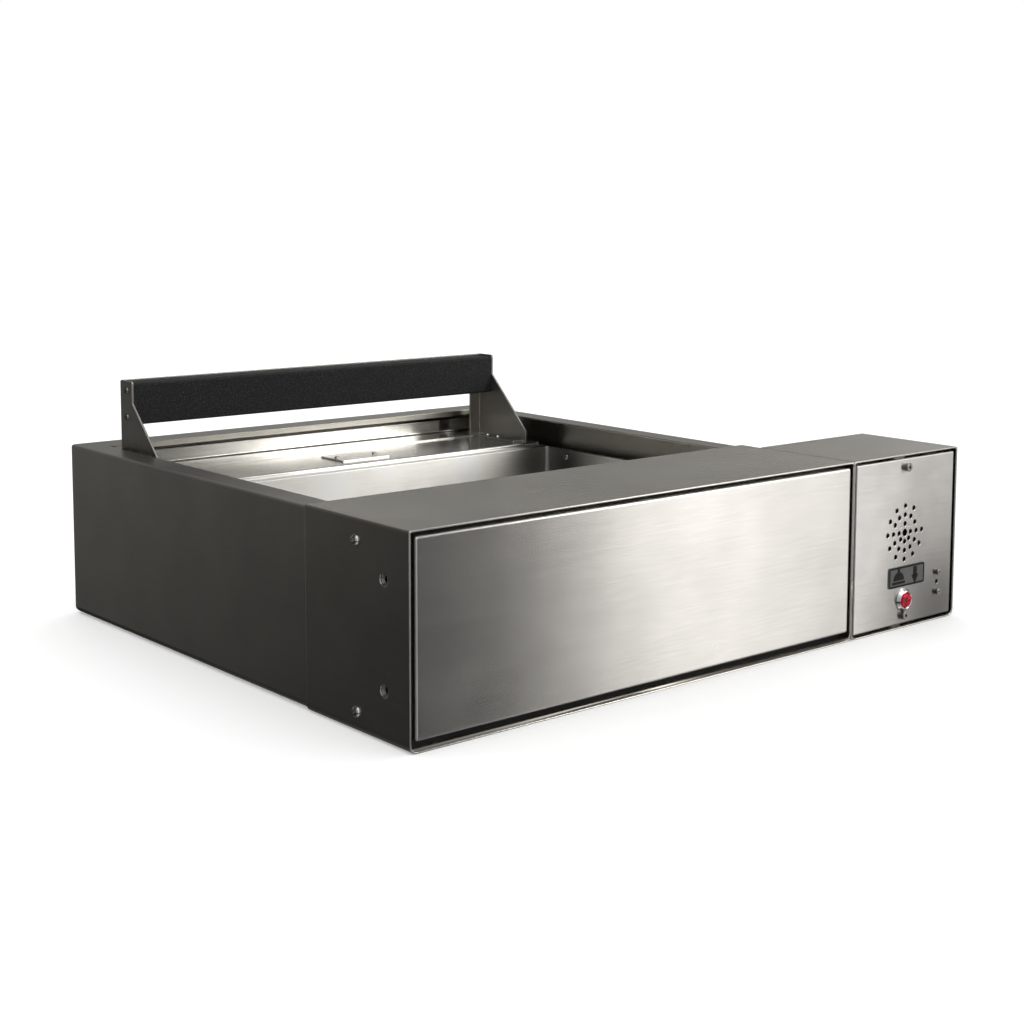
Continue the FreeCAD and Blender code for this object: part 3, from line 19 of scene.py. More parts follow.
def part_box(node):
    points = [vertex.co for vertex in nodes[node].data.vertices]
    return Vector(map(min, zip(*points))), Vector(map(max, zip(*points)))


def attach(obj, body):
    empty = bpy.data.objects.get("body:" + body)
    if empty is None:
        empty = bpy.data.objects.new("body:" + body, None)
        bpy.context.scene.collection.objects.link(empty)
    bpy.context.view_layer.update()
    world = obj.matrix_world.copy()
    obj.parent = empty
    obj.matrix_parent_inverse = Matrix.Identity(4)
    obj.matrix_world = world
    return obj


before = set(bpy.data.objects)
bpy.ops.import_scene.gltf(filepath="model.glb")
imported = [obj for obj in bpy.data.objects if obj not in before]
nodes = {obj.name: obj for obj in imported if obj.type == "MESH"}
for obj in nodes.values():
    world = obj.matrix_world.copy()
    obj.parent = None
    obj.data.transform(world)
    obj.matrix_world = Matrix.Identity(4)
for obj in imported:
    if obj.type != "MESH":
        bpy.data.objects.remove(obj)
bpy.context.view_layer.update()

scene = bpy.context.scene

# %% [markdown]
# ## The camera
#
# The lens is a short telephoto, 60 mm on a full frame, and the camera stands 1.7 m away, a
# little above the counter.  It could be aimed by hand, but the angles of a rotation are easy to
# get wrong, so the cell builds the rotation from plain steps: look at the horizon, turn to the
# right, tip down, and roll by a third of a degree.  A small shift of the lens then slides the
# drawer across the picture, and leaves its perspective alone.

# %% Camera
LENS_MM = 60.22
SENSOR_MM = 36.0
# Metres from the origin, then degrees, then shares of the picture's width.
CAMERA_SPOT = Vector((-1.0986, -1.2025, 0.4685))
TURNED_RIGHT, TIPPED_DOWN, ROLLED = 41.02, 6.32, 0.31
SHIFT_ACROSS, SHIFT_UP = -0.0469, -0.1289
NEAREST = 0.05


def camera_turn(right, down, roll):
    """Rotation of a camera that looks along +Y and is turned right, tipped down and rolled."""
    level = Matrix.Rotation(math.radians(90 - down), 4, "X")
    heading = Matrix.Rotation(math.radians(-right), 4, "Z")
    return heading @ level @ Matrix.Rotation(math.radians(roll), 4, "Z")


camera_data = bpy.data.cameras.new("camera")
camera_data.lens = LENS_MM
camera_data.sensor_width = SENSOR_MM
camera_data.shift_x = SHIFT_ACROSS
camera_data.shift_y = SHIFT_UP
camera_data.clip_start = NEAREST
camera = bpy.data.objects.new("camera", camera_data)
aim = camera_turn(TURNED_RIGHT, TIPPED_DOWN, ROLLED)
camera.matrix_world = Matrix.Translation(CAMERA_SPOT) @ aim
scene.collection.objects.link(camera)
scene.camera = camera
print("camera at", [round(c, 3) for c in camera.location])

# %% [markdown]
# ## The floor
#
# The floor is one large flat square, so wide that its edges lie far outside the picture. It
# catches the drawer's shadow, but the metal doesn't reflect it: a pale floor would fill the
# lower half of every upright sheet with white.

# %% Helpers for objects
def new_object(name, mesh):
    """Turn a bmesh into an object of the scene."""
    data = bpy.data.meshes.new(name)
    mesh.to_mesh(data)
    mesh.free()
    made = bpy.data.objects.new(name, data)
    scene.collection.objects.link(made)
    return made


def hide_from(thing, *rays):
    """Make an object invisible to some kinds of ray, such as camera or glossy ones."""
    for ray in rays:
        setattr(thing, "visible_" + ray, False)


print("object helpers ready")

# %% Floor
FLOOR_HALF = 30.0

plane = bmesh.new()
bmesh.ops.create_grid(plane, x_segments=1, y_segments=1, size=FLOOR_HALF)
floor = new_object("floor", plane)
hide_from(floor, "glossy")
print(f"floor {2 * FLOOR_HALF:.0f} m square")

# %% [markdown]
# ## A shorthand for nodes
#
# Every finish is a tree of nodes.  It could be wired in the editor, but a script keeps it
# readable if each node takes one line.  The first helper adds a node, sets its options and
# fills its inputs, and the others are the kinds of node that come up most.

# %% Helpers for node trees
def grey(value):
    """A grey of this brightness as a colour with alpha."""
    return (value, value, value, 1)


def add(tree, kind, values=None, **settings):
    """A new node: its settings by name, its input values by socket name or number."""
    made = tree.nodes.new(kind)
    for key, value in settings.items():
        setattr(made, key, value)
    for key, value in (values or {}).items():
        if isinstance(value, bpy.types.NodeSocket):
            tree.links.new(value, made.inputs[key])
        else:
            made.inputs[key].default_value = value
    return made


def ramp(tree, factor, stops):
    """A ramp of greys through (position, brightness) stops."""
    made = add(tree, "ShaderNodeValToRGB", {0: factor})
    slots = made.color_ramp.elements
    for index, (position, shade) in enumerate(stops):
        slot = slots[index] if index < 2 else slots.new(position)
        slot.position = position
        slot.color = grey(shade)
    return made.outputs["Color"]


def maths(tree, operation, *values):
    """A Math node's result."""
    return add(tree, "ShaderNodeMath", dict(enumerate(values)), operation=operation).outputs[0]


def vector_maths(tree, operation, first, second):
    """A Vector Math node's result: a number from a dot product or a distance, else a vector."""
    other = "Scale" if operation == "SCALE" else 1
    made = add(tree, "ShaderNodeVectorMath", {0: first, other: second}, operation=operation)
    return made.outputs["Value" if operation in ("DOT_PRODUCT", "DISTANCE") else "Vector"]


def ranged(tree, value, start, stop, low=0.0, high=1.0):
    """A value that runs from low to high while the given one runs from start to stop."""
    return add(tree, "ShaderNodeMapRange", {"Value": value, "From Min": start, "From Max": stop,
                                            "To Min": low, "To Max": high}).outputs[0]


def mixed(tree, factor, low, high, blend="MIX"):
    """Two colours mixed by a factor, or multiplied."""
    made = add(tree, "ShaderNodeMix", {0: factor, 6: low, 7: high}, data_type="RGBA",
               blend_type=blend)
    return made.outputs[2]


print("node helpers ready")

# %% [markdown]
# ## The light of the room
#
# Bare metal has almost no colour of its own: it shows the room.  Area lamps could light the
# drawer, but a world made of soft bands is easier to tune.  One ramp says how bright the walls
# are in each direction of the compass and another how bright the ceiling is.  Two more fade
# the walls and bring in the ceiling by the height above the horizon.  Matt surfaces don't
# mirror anything, so the Light Path node gives them one even soft light from all sides instead.

# %% World: bands of light round the compass
# Degrees counted from +X towards +Y, and how bright the walls are there, 1 being white.
COMPASS = [(-180, 0.12), (-160, 0.30), (-122, 0.42), (-112, 0.9), (-98, 0.9), (-88, 0.16),
           (-52, 0.12), (-30, 0.30), (10, 0.50), (28, 0.72), (36, 0.46), (40, 0.31), (48, 0.25),
           (56, 0.37), (64, 0.22), (90, 0.14), (112, 0.175), (120, 0.13), (128, 0.08),
           (150, 0.06), (180, 0.12)]
# Degrees above the horizon: the ceiling's share, and what is left of the walls.
CEILING = [(-90, 0.0), (14, 0.0), (38, 0.4), (60, 0.9), (90, 1.0)]
FADE = [(-90, 1.0), (-50, 0.9), (-32, 0.35), (-24, 0.05), (-18, 0.13), (-12, 0.78), (-9, 1.0),
        (90, 1.0)]
# The ceiling round the compass: it is brightest to the front.
SKY = [(-180, 0.08), (-120, 0.6), (-75, 1.0), (-47, 0.95), (-34, 0.36), (-20, 0.22), (0, 0.21),
       (60, 0.25), (90, 0.1), (115, 0.02), (150, 0.02), (180, 0.08)]
CEILING_LIGHT = 2.3
# What matt surfaces get instead, the same from all sides.
SOFT_LIGHT = 1.10


def round_compass(stops):
    """Stops given in degrees from -180 to 180 as places on a ramp."""
    return [((angle + 180) / 360, shade) for angle, shade in stops]


def floor_to_ceiling(stops):
    """Stops given in degrees from -90 to 90 as places on a ramp."""
    return [((angle + 90) / 180, share) for angle, share in stops]


world = bpy.data.worlds.new("studio")
world.use_nodes = True
room = world.node_tree
room.nodes.clear()
direction = add(room, "ShaderNodeTexCoord").outputs["Generated"]
parts = add(room, "ShaderNodeSeparateXYZ", {0: direction}).outputs
turn = maths(room, "ARCTAN2", parts["Y"], parts["X"])
compass = maths(room, "MULTIPLY_ADD", turn, 1 / (2 * math.pi), 0.5)
walls = ramp(room, compass, round_compass(COMPASS))
sky = ramp(room, compass, round_compass(SKY))
height = maths(room, "ARCSINE", parts["Z"])
rise = maths(room, "MULTIPLY_ADD", height, 1 / math.pi, 0.5)
lit_walls = mixed(room, 1.0, walls, ramp(room, rise, floor_to_ceiling(FADE)), "MULTIPLY")
lit_sky = mixed(room, 1.0, sky, grey(CEILING_LIGHT), "MULTIPLY")
ceiling = ramp(room, rise, floor_to_ceiling(CEILING))
mirrored = mixed(room, ceiling, lit_walls, lit_sky)
matt = add(room, "ShaderNodeLightPath").outputs["Is Diffuse Ray"]
light = mixed(room, matt, mirrored, grey(SOFT_LIGHT))
surface = add(room, "ShaderNodeBackground", {0: light, 1: 1.0}).outputs[0]
room.links.new(surface, add(room, "ShaderNodeOutputWorld").inputs[0])
world.cycles.sampling_method = "NONE"
scene.world = world
scene.view_settings.view_transform = "Standard"
print(f"{len(COMPASS)} compass stops, {len(CEILING)} ceiling stops")

# %% [markdown]
# ## A bright card
#
# A studio photographer stands a tall white card beside a metal product, so that its front runs
# from dark to bright and the flank stays deep grey.  Bands in the world can't do that alone:
# they are infinitely far away, so a flat front would show only a narrow stretch of them.  The
# card is a single upright face near the drawer, brightest in the middle of its width and in
# its upper half.  Only reflections see it, and it turns clear at its border, so that no hard
# edge shows in the steel.

# %% A tall bright card to the front right
# Its two upright edges on the plan and its lower and upper ends, in metres.
CARD_LEFT, CARD_RIGHT = (0.75, -1.60), (2.10, -0.85)
CARD_LOW, CARD_HIGH = -1.6, 1.9

foot = Vector((*CARD_LEFT, CARD_LOW))
across = Vector((*CARD_RIGHT, CARD_LOW)) - foot
up = Vector((0, 0, CARD_HIGH - CARD_LOW))
card_place = Matrix((across, up, across.cross(up).normalized())).transposed().to_4x4()
card_place.translation = foot + (across + up) / 2
sheet = bmesh.new()
sheet.loops.layers.uv.new("spread")
bmesh.ops.create_grid(sheet, x_segments=1, y_segments=1, size=0.5, matrix=card_place,
                      calc_uvs=True)
card = new_object("bright_card", sheet)
hide_from(card, "camera", "diffuse", "transmission", "shadow", "volume_scatter")
print(f"card {across.length:.2f} m wide and {up.length:.2f} m high")

# %% The card's glow
# How bright it is from left to right and from bottom to top, as shares of its full light.
ACROSS = [(0.06, 0.045), (0.14, 0.043), (0.185, 0.072), (0.232, 0.18), (0.272, 0.43),
          (0.312, 0.79), (0.386, 0.96), (0.466, 1.0), (0.547, 0.82), (0.595, 0.82),
          (0.645, 0.69), (0.69, 0.56), (0.734, 0.47), (1.0, 0.30)]
UP = [(0.0, 0.16), (0.343, 0.258), (0.43, 0.303), (0.571, 0.303), (0.61, 1.0), (0.8, 1.0),
      (1.0, 0.7)]
CARD_EDGE = [(0.0, 0.0), (0.05, 1.0), (0.95, 1.0), (1.0, 0.0)]
CARD_LIGHT = 5.4
WARM_WHITE = (1.0, 0.985, 0.955, 1)

card_glow = bpy.data.materials.new("card glow")
card_glow.use_nodes = True
card_glow.cycles.emission_sampling = "NONE"
tree = card_glow.node_tree
tree.nodes.clear()
spread = add(tree, "ShaderNodeUVMap", uv_map="spread").outputs[0]
corner = add(tree, "ShaderNodeSeparateXYZ", {0: spread}).outputs
share = maths(tree, "MULTIPLY", ramp(tree, corner["X"], ACROSS), ramp(tree, corner["Y"], UP))
strength = maths(tree, "MULTIPLY", share, CARD_LIGHT)
glowing = add(tree, "ShaderNodeEmission", {0: WARM_WHITE, 1: strength}).outputs[0]
clear = add(tree, "ShaderNodeBsdfTransparent").outputs[0]
whole = maths(tree, "MULTIPLY", ramp(tree, corner["X"], CARD_EDGE),
              ramp(tree, corner["Y"], CARD_EDGE))
seen = add(tree, "ShaderNodeMixShader", {0: whole, 1: clear, 2: glowing}).outputs[0]
tree.links.new(seen, add(tree, "ShaderNodeOutputMaterial").inputs[0])
card.data.materials.append(card_glow)
print("card glow, seen only in reflections")

# %% [markdown]
# ## Backdrop and floor finish
#
# Behind the drawer the picture is plain white.  The world can't be white, because the steel
# would reflect it, so a large glowing dome stands round everything and only the camera sees
# it.  The floor is matt and nearly white, and glows a little itself: that lightens the shadow
# under the drawer, as soft light thrown back by a white table does.

# %% Floor finish
PALE = 0.93
FLOOR_GLOW = 0.2

pale = bpy.data.materials.new("pale floor")
pale.use_nodes = True
pale_sockets = pale.node_tree.nodes["Principled BSDF"].inputs
for label, value in (("Base Color", grey(PALE)), ("Roughness", 0.9),
                     ("Specular IOR Level", 0.0), ("Emission Color", grey(1.0)),
                     ("Emission Strength", FLOOR_GLOW)):
    pale_sockets[label].default_value = value
floor.data.materials.append(pale)
print("pale floor")

# %% Backdrop
BACKDROP_RADIUS = 0.98 * FLOOR_HALF

dome = bmesh.new()
bmesh.ops.create_uvsphere(dome, u_segments=48, v_segments=24, radius=BACKDROP_RADIUS)
backdrop = new_object("backdrop", dome)
hide_from(backdrop, "diffuse", "glossy", "transmission", "shadow", "volume_scatter")
glow = bpy.data.materials.new("white backdrop")
glow.use_nodes = True
tree = glow.node_tree
tree.nodes.clear()
shine = add(tree, "ShaderNodeEmission", {0: grey(1.0), 1: 1.0}).outputs[0]
tree.links.new(shine, add(tree, "ShaderNodeOutputMaterial").inputs[0])
backdrop.data.materials.append(glow)
print("backdrop: a dome that only the camera sees")

# %% [markdown]
# ## How brushed steel is made to look brushed
#
# Brushing draws a belt of abrasive along the sheet, and leaves thousands of scratches side by
# side.  Along a scratch the metal is still flat, across it the surface tilts to and fro.  Three
# things follow.  Fine streaks run along the sheet; highlights are smeared across the streaks;
# and wide soft clouds show where the belt pressed harder.  A picture of scratches would repeat
# and smear on folded sheet, so the streaks are noise stretched along one axis, made once as a
# node group and given its own lengths in each material.

# %% Node groups: a frame for them
def new_group(name, inputs, outputs):
    """An empty shader group with value or vector sockets; returns tree, in, out."""
    tree = bpy.data.node_groups.new(name, "ShaderNodeTree")
    kinds = {"value": "NodeSocketFloat", "vector": "NodeSocketVector"}
    for label, kind, default in inputs:
        socket = tree.interface.new_socket(name=label, in_out="INPUT", socket_type=kinds[kind])
        if default is not None:
            socket.default_value = default
    for label, kind in outputs:
        tree.interface.new_socket(name=label, in_out="OUTPUT", socket_type=kinds[kind])
    return tree, tree.nodes.new("NodeGroupInput"), tree.nodes.new("NodeGroupOutput")


def use(tree, group, **values):
    """The group placed in a material with its own values; returns its outputs."""
    return add(tree, "ShaderNodeGroup", node_tree=group, values=values).outputs


print("group helpers ready")

# %% Group: brushed streaks
# The broad streaks' scale as a share of the fine ones', so they are about 4.5 times as wide.
BROADER = 0.22

streaks, s_in, s_out = new_group(
    "brushed streaks",
    [("Place", "vector", None), ("Along", "vector", (12.0, 900.0, 900.0))],
    [("Fine", "value"), ("Broad", "value"), ("Cloud", "value")])
place = s_in.outputs["Place"]
fine_place = vector_maths(streaks, "MULTIPLY", place, s_in.outputs["Along"])
fine = add(streaks, "ShaderNodeTexNoise", {"Vector": fine_place, "Scale": 1.0, "Detail": 4.0,
                                           "Roughness": 0.72}).outputs[0]
broad_place = vector_maths(streaks, "SCALE", fine_place, BROADER)
broad = add(streaks, "ShaderNodeTexNoise", {"Vector": broad_place, "Scale": 1.0,
                                            "Detail": 2.0}).outputs[0]
cloud = add(streaks, "ShaderNodeTexNoise", {"Vector": place, "Scale": 14.0, "Detail": 2.5,
                                            "Roughness": 0.45}).outputs[0]
for label, value in (("Fine", fine), ("Broad", broad), ("Cloud", cloud)):
    streaks.links.new(value, s_out.inputs[label])
print("streaks: fine, broad and cloud")

# %% [markdown]
# ## Dressed edges
#
# A cut or folded edge is filed smooth, and shows as a thin bright line.  On the metals that line
# is partly paler filed steel and partly a painted highlight, laid into the colour along this
# mask.  Bevelling the meshes would change the CAD's sizes, so the Bevel node rounds the shading
# instead.  Where the rounded normal leaves the surface's own there is an edge, and that
# difference is the mask.

# %% Group: dressed edges
# How far the rounded normal has to turn away, from 0 for flat to 1 for square.
FAINT_EDGE, FULL_EDGE = 0.012, 0.16

edges, e_in, e_out = new_group(
    "dressed edges",
    [("Place", "vector", None), ("Width", "value", 0.0012), ("Break up", "value", 0.35)],
    [("Edge", "value"), ("Rounded", "vector")])
rounded = add(edges, "ShaderNodeBevel", {"Radius": e_in.outputs["Width"]}, samples=6).outputs[0]
own = add(edges, "ShaderNodeNewGeometry").outputs["Normal"]
agree = vector_maths(edges, "DOT_PRODUCT", rounded, own)
sharp = ranged(edges, maths(edges, "SUBTRACT", 1.0, agree), FAINT_EDGE, FULL_EDGE)
patchy = add(edges, "ShaderNodeTexNoise", {"Vector": e_in.outputs["Place"], "Scale": 160.0,
                                           "Detail": 3.0}).outputs[0]
kept = maths(edges, "SUBTRACT", 1.0, maths(edges, "MULTIPLY", patchy, e_in.outputs["Break up"]))
edges.links.new(maths(edges, "MULTIPLY", sharp, kept), e_out.inputs["Edge"])
edges.links.new(rounded, e_out.inputs["Rounded"])
print("edges: one mask, and the normal of the rounded corner")

# %% [markdown]
# ## Handling marks
#
# Hands leave a thin film that dulls a shine in patches, and dust settles as small specks.  One
# group gives both as masks, and each material decides what they do to it.

# %% Group: handling marks
# The smears' noise where the film starts and is full, and a speck's rim and core.
FILM_RANGE = (0.48, 0.72)
SPECK_RANGE = (0.10, 0.05)

handling, h_in, h_out = new_group(
    "handling marks",
    [("Place", "vector", None), ("Amount", "value", 0.5)],
    [("Film", "value"), ("Specks", "value")])
smear = add(handling, "ShaderNodeTexNoise", {"Vector": h_in.outputs["Place"], "Scale": 9.0,
                                             "Detail": 5.0, "Distortion": 0.8}).outputs[0]
film = ranged(handling, smear, *FILM_RANGE)
dots = add(handling, "ShaderNodeTexVoronoi", {"Vector": h_in.outputs["Place"],
                                              "Scale": 230.0}).outputs["Distance"]
speck = ranged(handling, dots, *SPECK_RANGE)
for label, value in (("Film", film), ("Specks", speck)):
    handling.links.new(maths(handling, "MULTIPLY", value, h_in.outputs["Amount"]),
                       h_out.inputs[label])
print("handling: film and specks")

# %% [markdown]
# ## From masks to a finish
#
# Every finish starts the same way: a Principled shader, and the place of each point on its own
# object, so that the pattern stays on the piece when it moves.  A finished material then goes
# into the slots of the CAD meshes, which are left alone otherwise.

# %% Helpers for finishes
def start_finish(name):
    """A new material, its tree, its shader, and the place of each point on the object."""
    made = bpy.data.materials.new(name)
    made.use_nodes = True
    tree = made.node_tree
    where = add(tree, "ShaderNodeTexCoord").outputs["Object"]
    return made, tree, tree.nodes["Principled BSDF"], where


def finish_nodes(material, *names):
    """Give CAD meshes a material by their slots, and leave the meshes alone."""
    for name in names:
        slots = nodes[name].material_slots
        for slot in slots:
            slot.material = material
        if not slots:
            nodes[name].data.materials.append(material)
    print(f"{material.name}: {', '.join(names)}")


print("finish helpers ready")

# %% [markdown]
# ## The brushed sheet
#
# A folded sheet was brushed while it was flat, so the streaks run along one axis of the piece,
# and along another on the faces that stand square to it.  The recipe finds those faces by
# their normal.  The anisotropic highlight needs the direction across the streaks, which is the
# cross product of the normal and the brushing.  A piece can have one spot of painted shade,
# where its colour is darkened softly round one point.

# %% Brushed sheet: a spot of painted shade
# The colour that paints shade into the steel.
PAINTED_SHADE_STEEL = (0.06, 0.055, 0.05, 1)


def paint_shade_spot(tree, where, body, spot):
    """Paint shade softly round one point by darkening the steel; spot is (centre, reach in
    metres, share).
    """
    centre, reach, share = spot
    away = vector_maths(tree, "DISTANCE", where, centre)
    near = add(tree, "ShaderNodeMapRange", {"Value": away, "From Min": reach, "From Max": 0.0},
               interpolation_type="SMOOTHSTEP").outputs[0]
    return mixed(tree, maths(tree, "MULTIPLY", near, share), body, PAINTED_SHADE_STEEL)


print("darker spot ready")

# %% Brushed sheet: the material itself
# The least cosine between the normal and the brushing on a face that stands square to it.
SQUARE_ON = 0.7
# The noises hardly leave this range, which is spread over the tint and the roughness.
NOISE_RANGE = (0.3, 0.7)
# Filed edges: paler steel, and a painted highlight along them.
FILED_EDGE_AND_HIGHLIGHT = (0.86, 0.85, 0.83, 1)
# How the roughness changes: to and fro with the streaks, under a film, and on an edge.
UNEVEN, FILM_DULLS, EDGE_SHINES = 0.012, 0.05, -0.12
SCRATCH_DEEP, SCRATCH_SHOWS = 0.00004, 0.03


def brushed(name, tint, rough, along="X", ends="Y", streak=0.10, cloudy=0.06, spun=0.75,
            fine=700.0, long=30.0, rim=0.0012, spot=None):
    """Stainless sheet brushed along one axis, and along another on faces square to that one.

    Streak and cloudy are shares of the tint, spun is the anisotropy, fine and long are streaks
    per metre across and along the brushing, and rim is the radius of the edges in metres.
    """
    made, tree, shader, where = start_finish(name)
    normal = add(tree, "ShaderNodeNewGeometry").outputs["Normal"]
    belt, turned_belt = [[float(axis == way) for axis in "XYZ"] for way in (along, ends)]
    facing = maths(tree, "ABSOLUTE", vector_maths(tree, "DOT_PRODUCT", normal, belt))
    square_on = maths(tree, "GREATER_THAN", facing, SQUARE_ON)

    def by_face(usual, turned):
        """One vector on most faces, another on those square to the brushing."""
        return add(tree, "ShaderNodeMix", {0: square_on, 4: usual, 5: turned},
                   data_type="VECTOR").outputs[1]

    run = by_face(*[[long if axis == way else fine for axis in "XYZ"] for way in (along, ends)])
    grain = use(tree, streaks, Place=where, Along=run)
    dressed = use(tree, edges, Place=where, Width=rim)
    marks = use(tree, handling, Place=where, Amount=0.4)
    shade = ranged(tree, grain["Fine"], *NOISE_RANGE, 1 - streak, 1 + streak)
    wide = ranged(tree, grain["Cloud"], *NOISE_RANGE, 1 - cloudy, 1 + cloudy)
    body = vector_maths(tree, "SCALE", tint, maths(tree, "MULTIPLY", shade, wide))
    # Painted shade: the steel darkened round one point of the piece.
    if spot:
        body = paint_shade_spot(tree, where, body, spot)
    tree.links.new(mixed(tree, dressed["Edge"], body, FILED_EDGE_AND_HIGHLIGHT), shader.inputs["Base Color"])
    coarse = ranged(tree, grain["Broad"], *NOISE_RANGE, rough - UNEVEN, rough + UNEVEN)
    filmed = maths(tree, "MULTIPLY_ADD", marks["Film"], FILM_DULLS, coarse)
    tree.links.new(maths(tree, "MULTIPLY_ADD", dressed["Edge"], EDGE_SHINES, filmed),
                   shader.inputs["Roughness"])
    shader.inputs["Metallic"].default_value = 1.0
    shader.inputs["Anisotropic"].default_value = spun
    sideways = vector_maths(tree, "CROSS_PRODUCT", normal, by_face(belt, turned_belt))
    tree.links.new(sideways, shader.inputs["Tangent"])
    bump = add(tree, "ShaderNodeBump", {"Height": grain["Fine"], "Strength": SCRATCH_SHOWS,
                                        "Distance": SCRATCH_DEEP,
                                        "Normal": dressed["Rounded"]}).outputs[0]
    tree.links.new(bump, shader.inputs["Normal"])
    return made


print("brushed sheet ready")

# %% [markdown]
# ## The sheets
#
# One recipe serves every folded sheet, but no two were brushed alike.  The front and the hood
# were brushed along the counter, and the long sides of the housing from front to back.  The
# deck behind the bin is the shiniest, with the coarsest streaks.

# %% Outer sheets
finish_nodes(brushed("front panel steel", (0.62, 0.605, 0.585), 0.25, streak=0.045,
                     cloudy=0.05, spun=0.95), "drawer_front")
finish_nodes(brushed("hood steel", (0.49, 0.465, 0.415), 0.25, streak=0.04, spun=0.9,
                     rim=0.0022), "bezel_shell", "unit_shell")
finish_nodes(brushed("housing steel", (0.51, 0.492, 0.445), 0.30, "Y", "X", streak=0.035,
                     spun=0.6), "housing_shell")
finish_nodes(brushed("frame steel", (0.5, 0.5, 0.49), 0.36), "seal_frame", "unit_back_cover")

# %% Drawer sheets
finish_nodes(brushed("carcass steel", (0.80, 0.79, 0.76), 0.3, streak=0.05, cloudy=0.08),
             "carcass")
finish_nodes(brushed("deck steel", (0.71, 0.70, 0.67), 0.16, cloudy=0.10, spun=0.92,
                     fine=260.0, long=8.0, rim=0.0004), "deck_cover", "deck_rear")
finish_nodes(brushed("bracket steel", (0.40, 0.385, 0.352), 0.32, "Z", "X", streak=0.05),
             "bracket_left", "bracket_right", "handle_strip")
finish_nodes(brushed("nameplate steel", (0.86, 0.85, 0.83), 0.20, streak=0.04, rim=0.0003),
             "nameplate")

# %% [markdown]
# ## Two sheets with painted light and shade
#
# The bin is the palest sheet: its steel is painted lighter than the others, so that the
# drawer's inside shows more light.  Two places are painted darker than the steel round them:
# the lower outer corner of the call unit's face, and the rear right corner of the bin.  This is
# painted shade: the room's bands alone leave them too bright, so each spot of shade is set in
# the material by its place on the piece, and stays there from every side.

# %% Face plate and bin
# Painted shade: the face plate's lower outer corner is darkened round one point.
plate_low, plate_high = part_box("face_plate")
plate_shade_centre = (plate_high.x - 0.030, plate_low.y, plate_low.z)
finish_nodes(brushed("face plate steel with painted shade", (0.60, 0.59, 0.575), 0.25, streak=0.05, cloudy=0.12,
                     spun=0.95, spot=(plate_shade_centre, 0.15, 0.75)), "face_plate")
# Painted shade: the bin's rear right corner is darkened round one point.
bin_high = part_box("bin")[1]
bin_shade_centre = (bin_high.x, bin_high.y - 0.055, bin_high.z - 0.02)
# Painted light: the bin's steel is paler than any other sheet, so the drawer's inside shows
# brighter.
finish_nodes(brushed("drawer inside steel with painted light and shade", (1.0, 0.985, 0.945), 0.33, streak=0.05,
                     cloudy=0.08, spun=0.93, spot=(bin_shade_centre, 0.10, 0.93)), "bin")

# %% [markdown]
# ## Zinc plated steel
#
# The slides, their ball cages and the nuts are rolled steel with a thin zinc plating.  It is
# bluer and duller than stainless, and shows the crystals of the zinc as faint patches.

# %% Zinc plate
# Edges: paler zinc, and a painted highlight along them.
ZINC_EDGE_AND_HIGHLIGHT = (0.82, 0.83, 0.84, 1)
# How much darker a crystal's border is, and how much it and a film add to the roughness.
CRYSTAL_DARK, CRYSTAL_DULLS, ZINC_FILM = 0.82, 0.12, 0.1


def plated(name, tint, rough, scale=90.0):
    """Zinc plate: patchy crystals over a dull metal, scale of them to the metre."""
    made, tree, shader, where = start_finish(name)
    edge = use(tree, edges, Place=where, Width=0.0006)["Edge"]
    marks = use(tree, handling, Place=where, Amount=0.5)
    patch = add(tree, "ShaderNodeTexVoronoi", {"Vector": where, "Scale": scale},
                feature="SMOOTH_F1").outputs["Distance"]
    dull = tuple(c * CRYSTAL_DARK for c in tint)
    body = mixed(tree, patch, (*tint, 1), (*dull, 1))
    tree.links.new(mixed(tree, edge, body, ZINC_EDGE_AND_HIGHLIGHT), shader.inputs["Base Color"])
    patchy_rough = maths(tree, "MULTIPLY_ADD", patch, CRYSTAL_DULLS, rough)
    tree.links.new(maths(tree, "MULTIPLY_ADD", marks["Film"], ZINC_FILM, patchy_rough),
                   shader.inputs["Roughness"])
    shader.inputs["Metallic"].default_value = 1.0
    return made


finish_nodes(plated("zinc plated slides", (0.55, 0.57, 0.60), 0.30), "slide_outer_left",
             "slide_outer_right", "slide_mid_left", "slide_mid_right", "slide_inner_left",
             "slide_inner_right")
finish_nodes(plated("zinc plated nuts", (0.56, 0.56, 0.53), 0.28, 300.0), "bezel_nuts",
             "side_unit_nuts", "button_nut", "speaker_nuts")
finish_nodes(plated("ball cages", (0.52, 0.49, 0.42), 0.24, 400.0), "cage_outer_left",
             "cage_outer_right", "cage_inner_left", "cage_inner_right")

# %% [markdown]
# ## Bright screws and chrome
#
# Screws and the button's ring are turned and polished, so they reflect like small mirrors.  A
# little handling film in the roughness keeps them from looking like new glass.  The screws on
# the call unit's face, the bar and the bin's walls are the same steel painted darker: painted
# shade.

# %% Polished metal
# Edges: paler turned metal, and a painted highlight along them.
TURNED_EDGE_AND_HIGHLIGHT = (0.9, 0.9, 0.89, 1)
# How dark the film turns the metal, and how much it adds to the roughness.
TARNISH, TARNISH_DULLS = 0.9, 0.12


def polished(name, tint, rough):
    """Bright turned metal with a thin film of handling."""
    made, tree, shader, where = start_finish(name)
    marks = use(tree, handling, Place=where, Amount=0.6)
    edge = use(tree, edges, Place=where, Width=0.0003)["Edge"]
    tarnished = tuple(c * TARNISH for c in tint)
    body = mixed(tree, marks["Film"], (*tint, 1), (*tarnished, 1))
    tree.links.new(mixed(tree, edge, body, TURNED_EDGE_AND_HIGHLIGHT), shader.inputs["Base Color"])
    tree.links.new(maths(tree, "MULTIPLY_ADD", marks["Film"], TARNISH_DULLS, rough),
                   shader.inputs["Roughness"])
    shader.inputs["Metallic"].default_value = 1.0
    return made


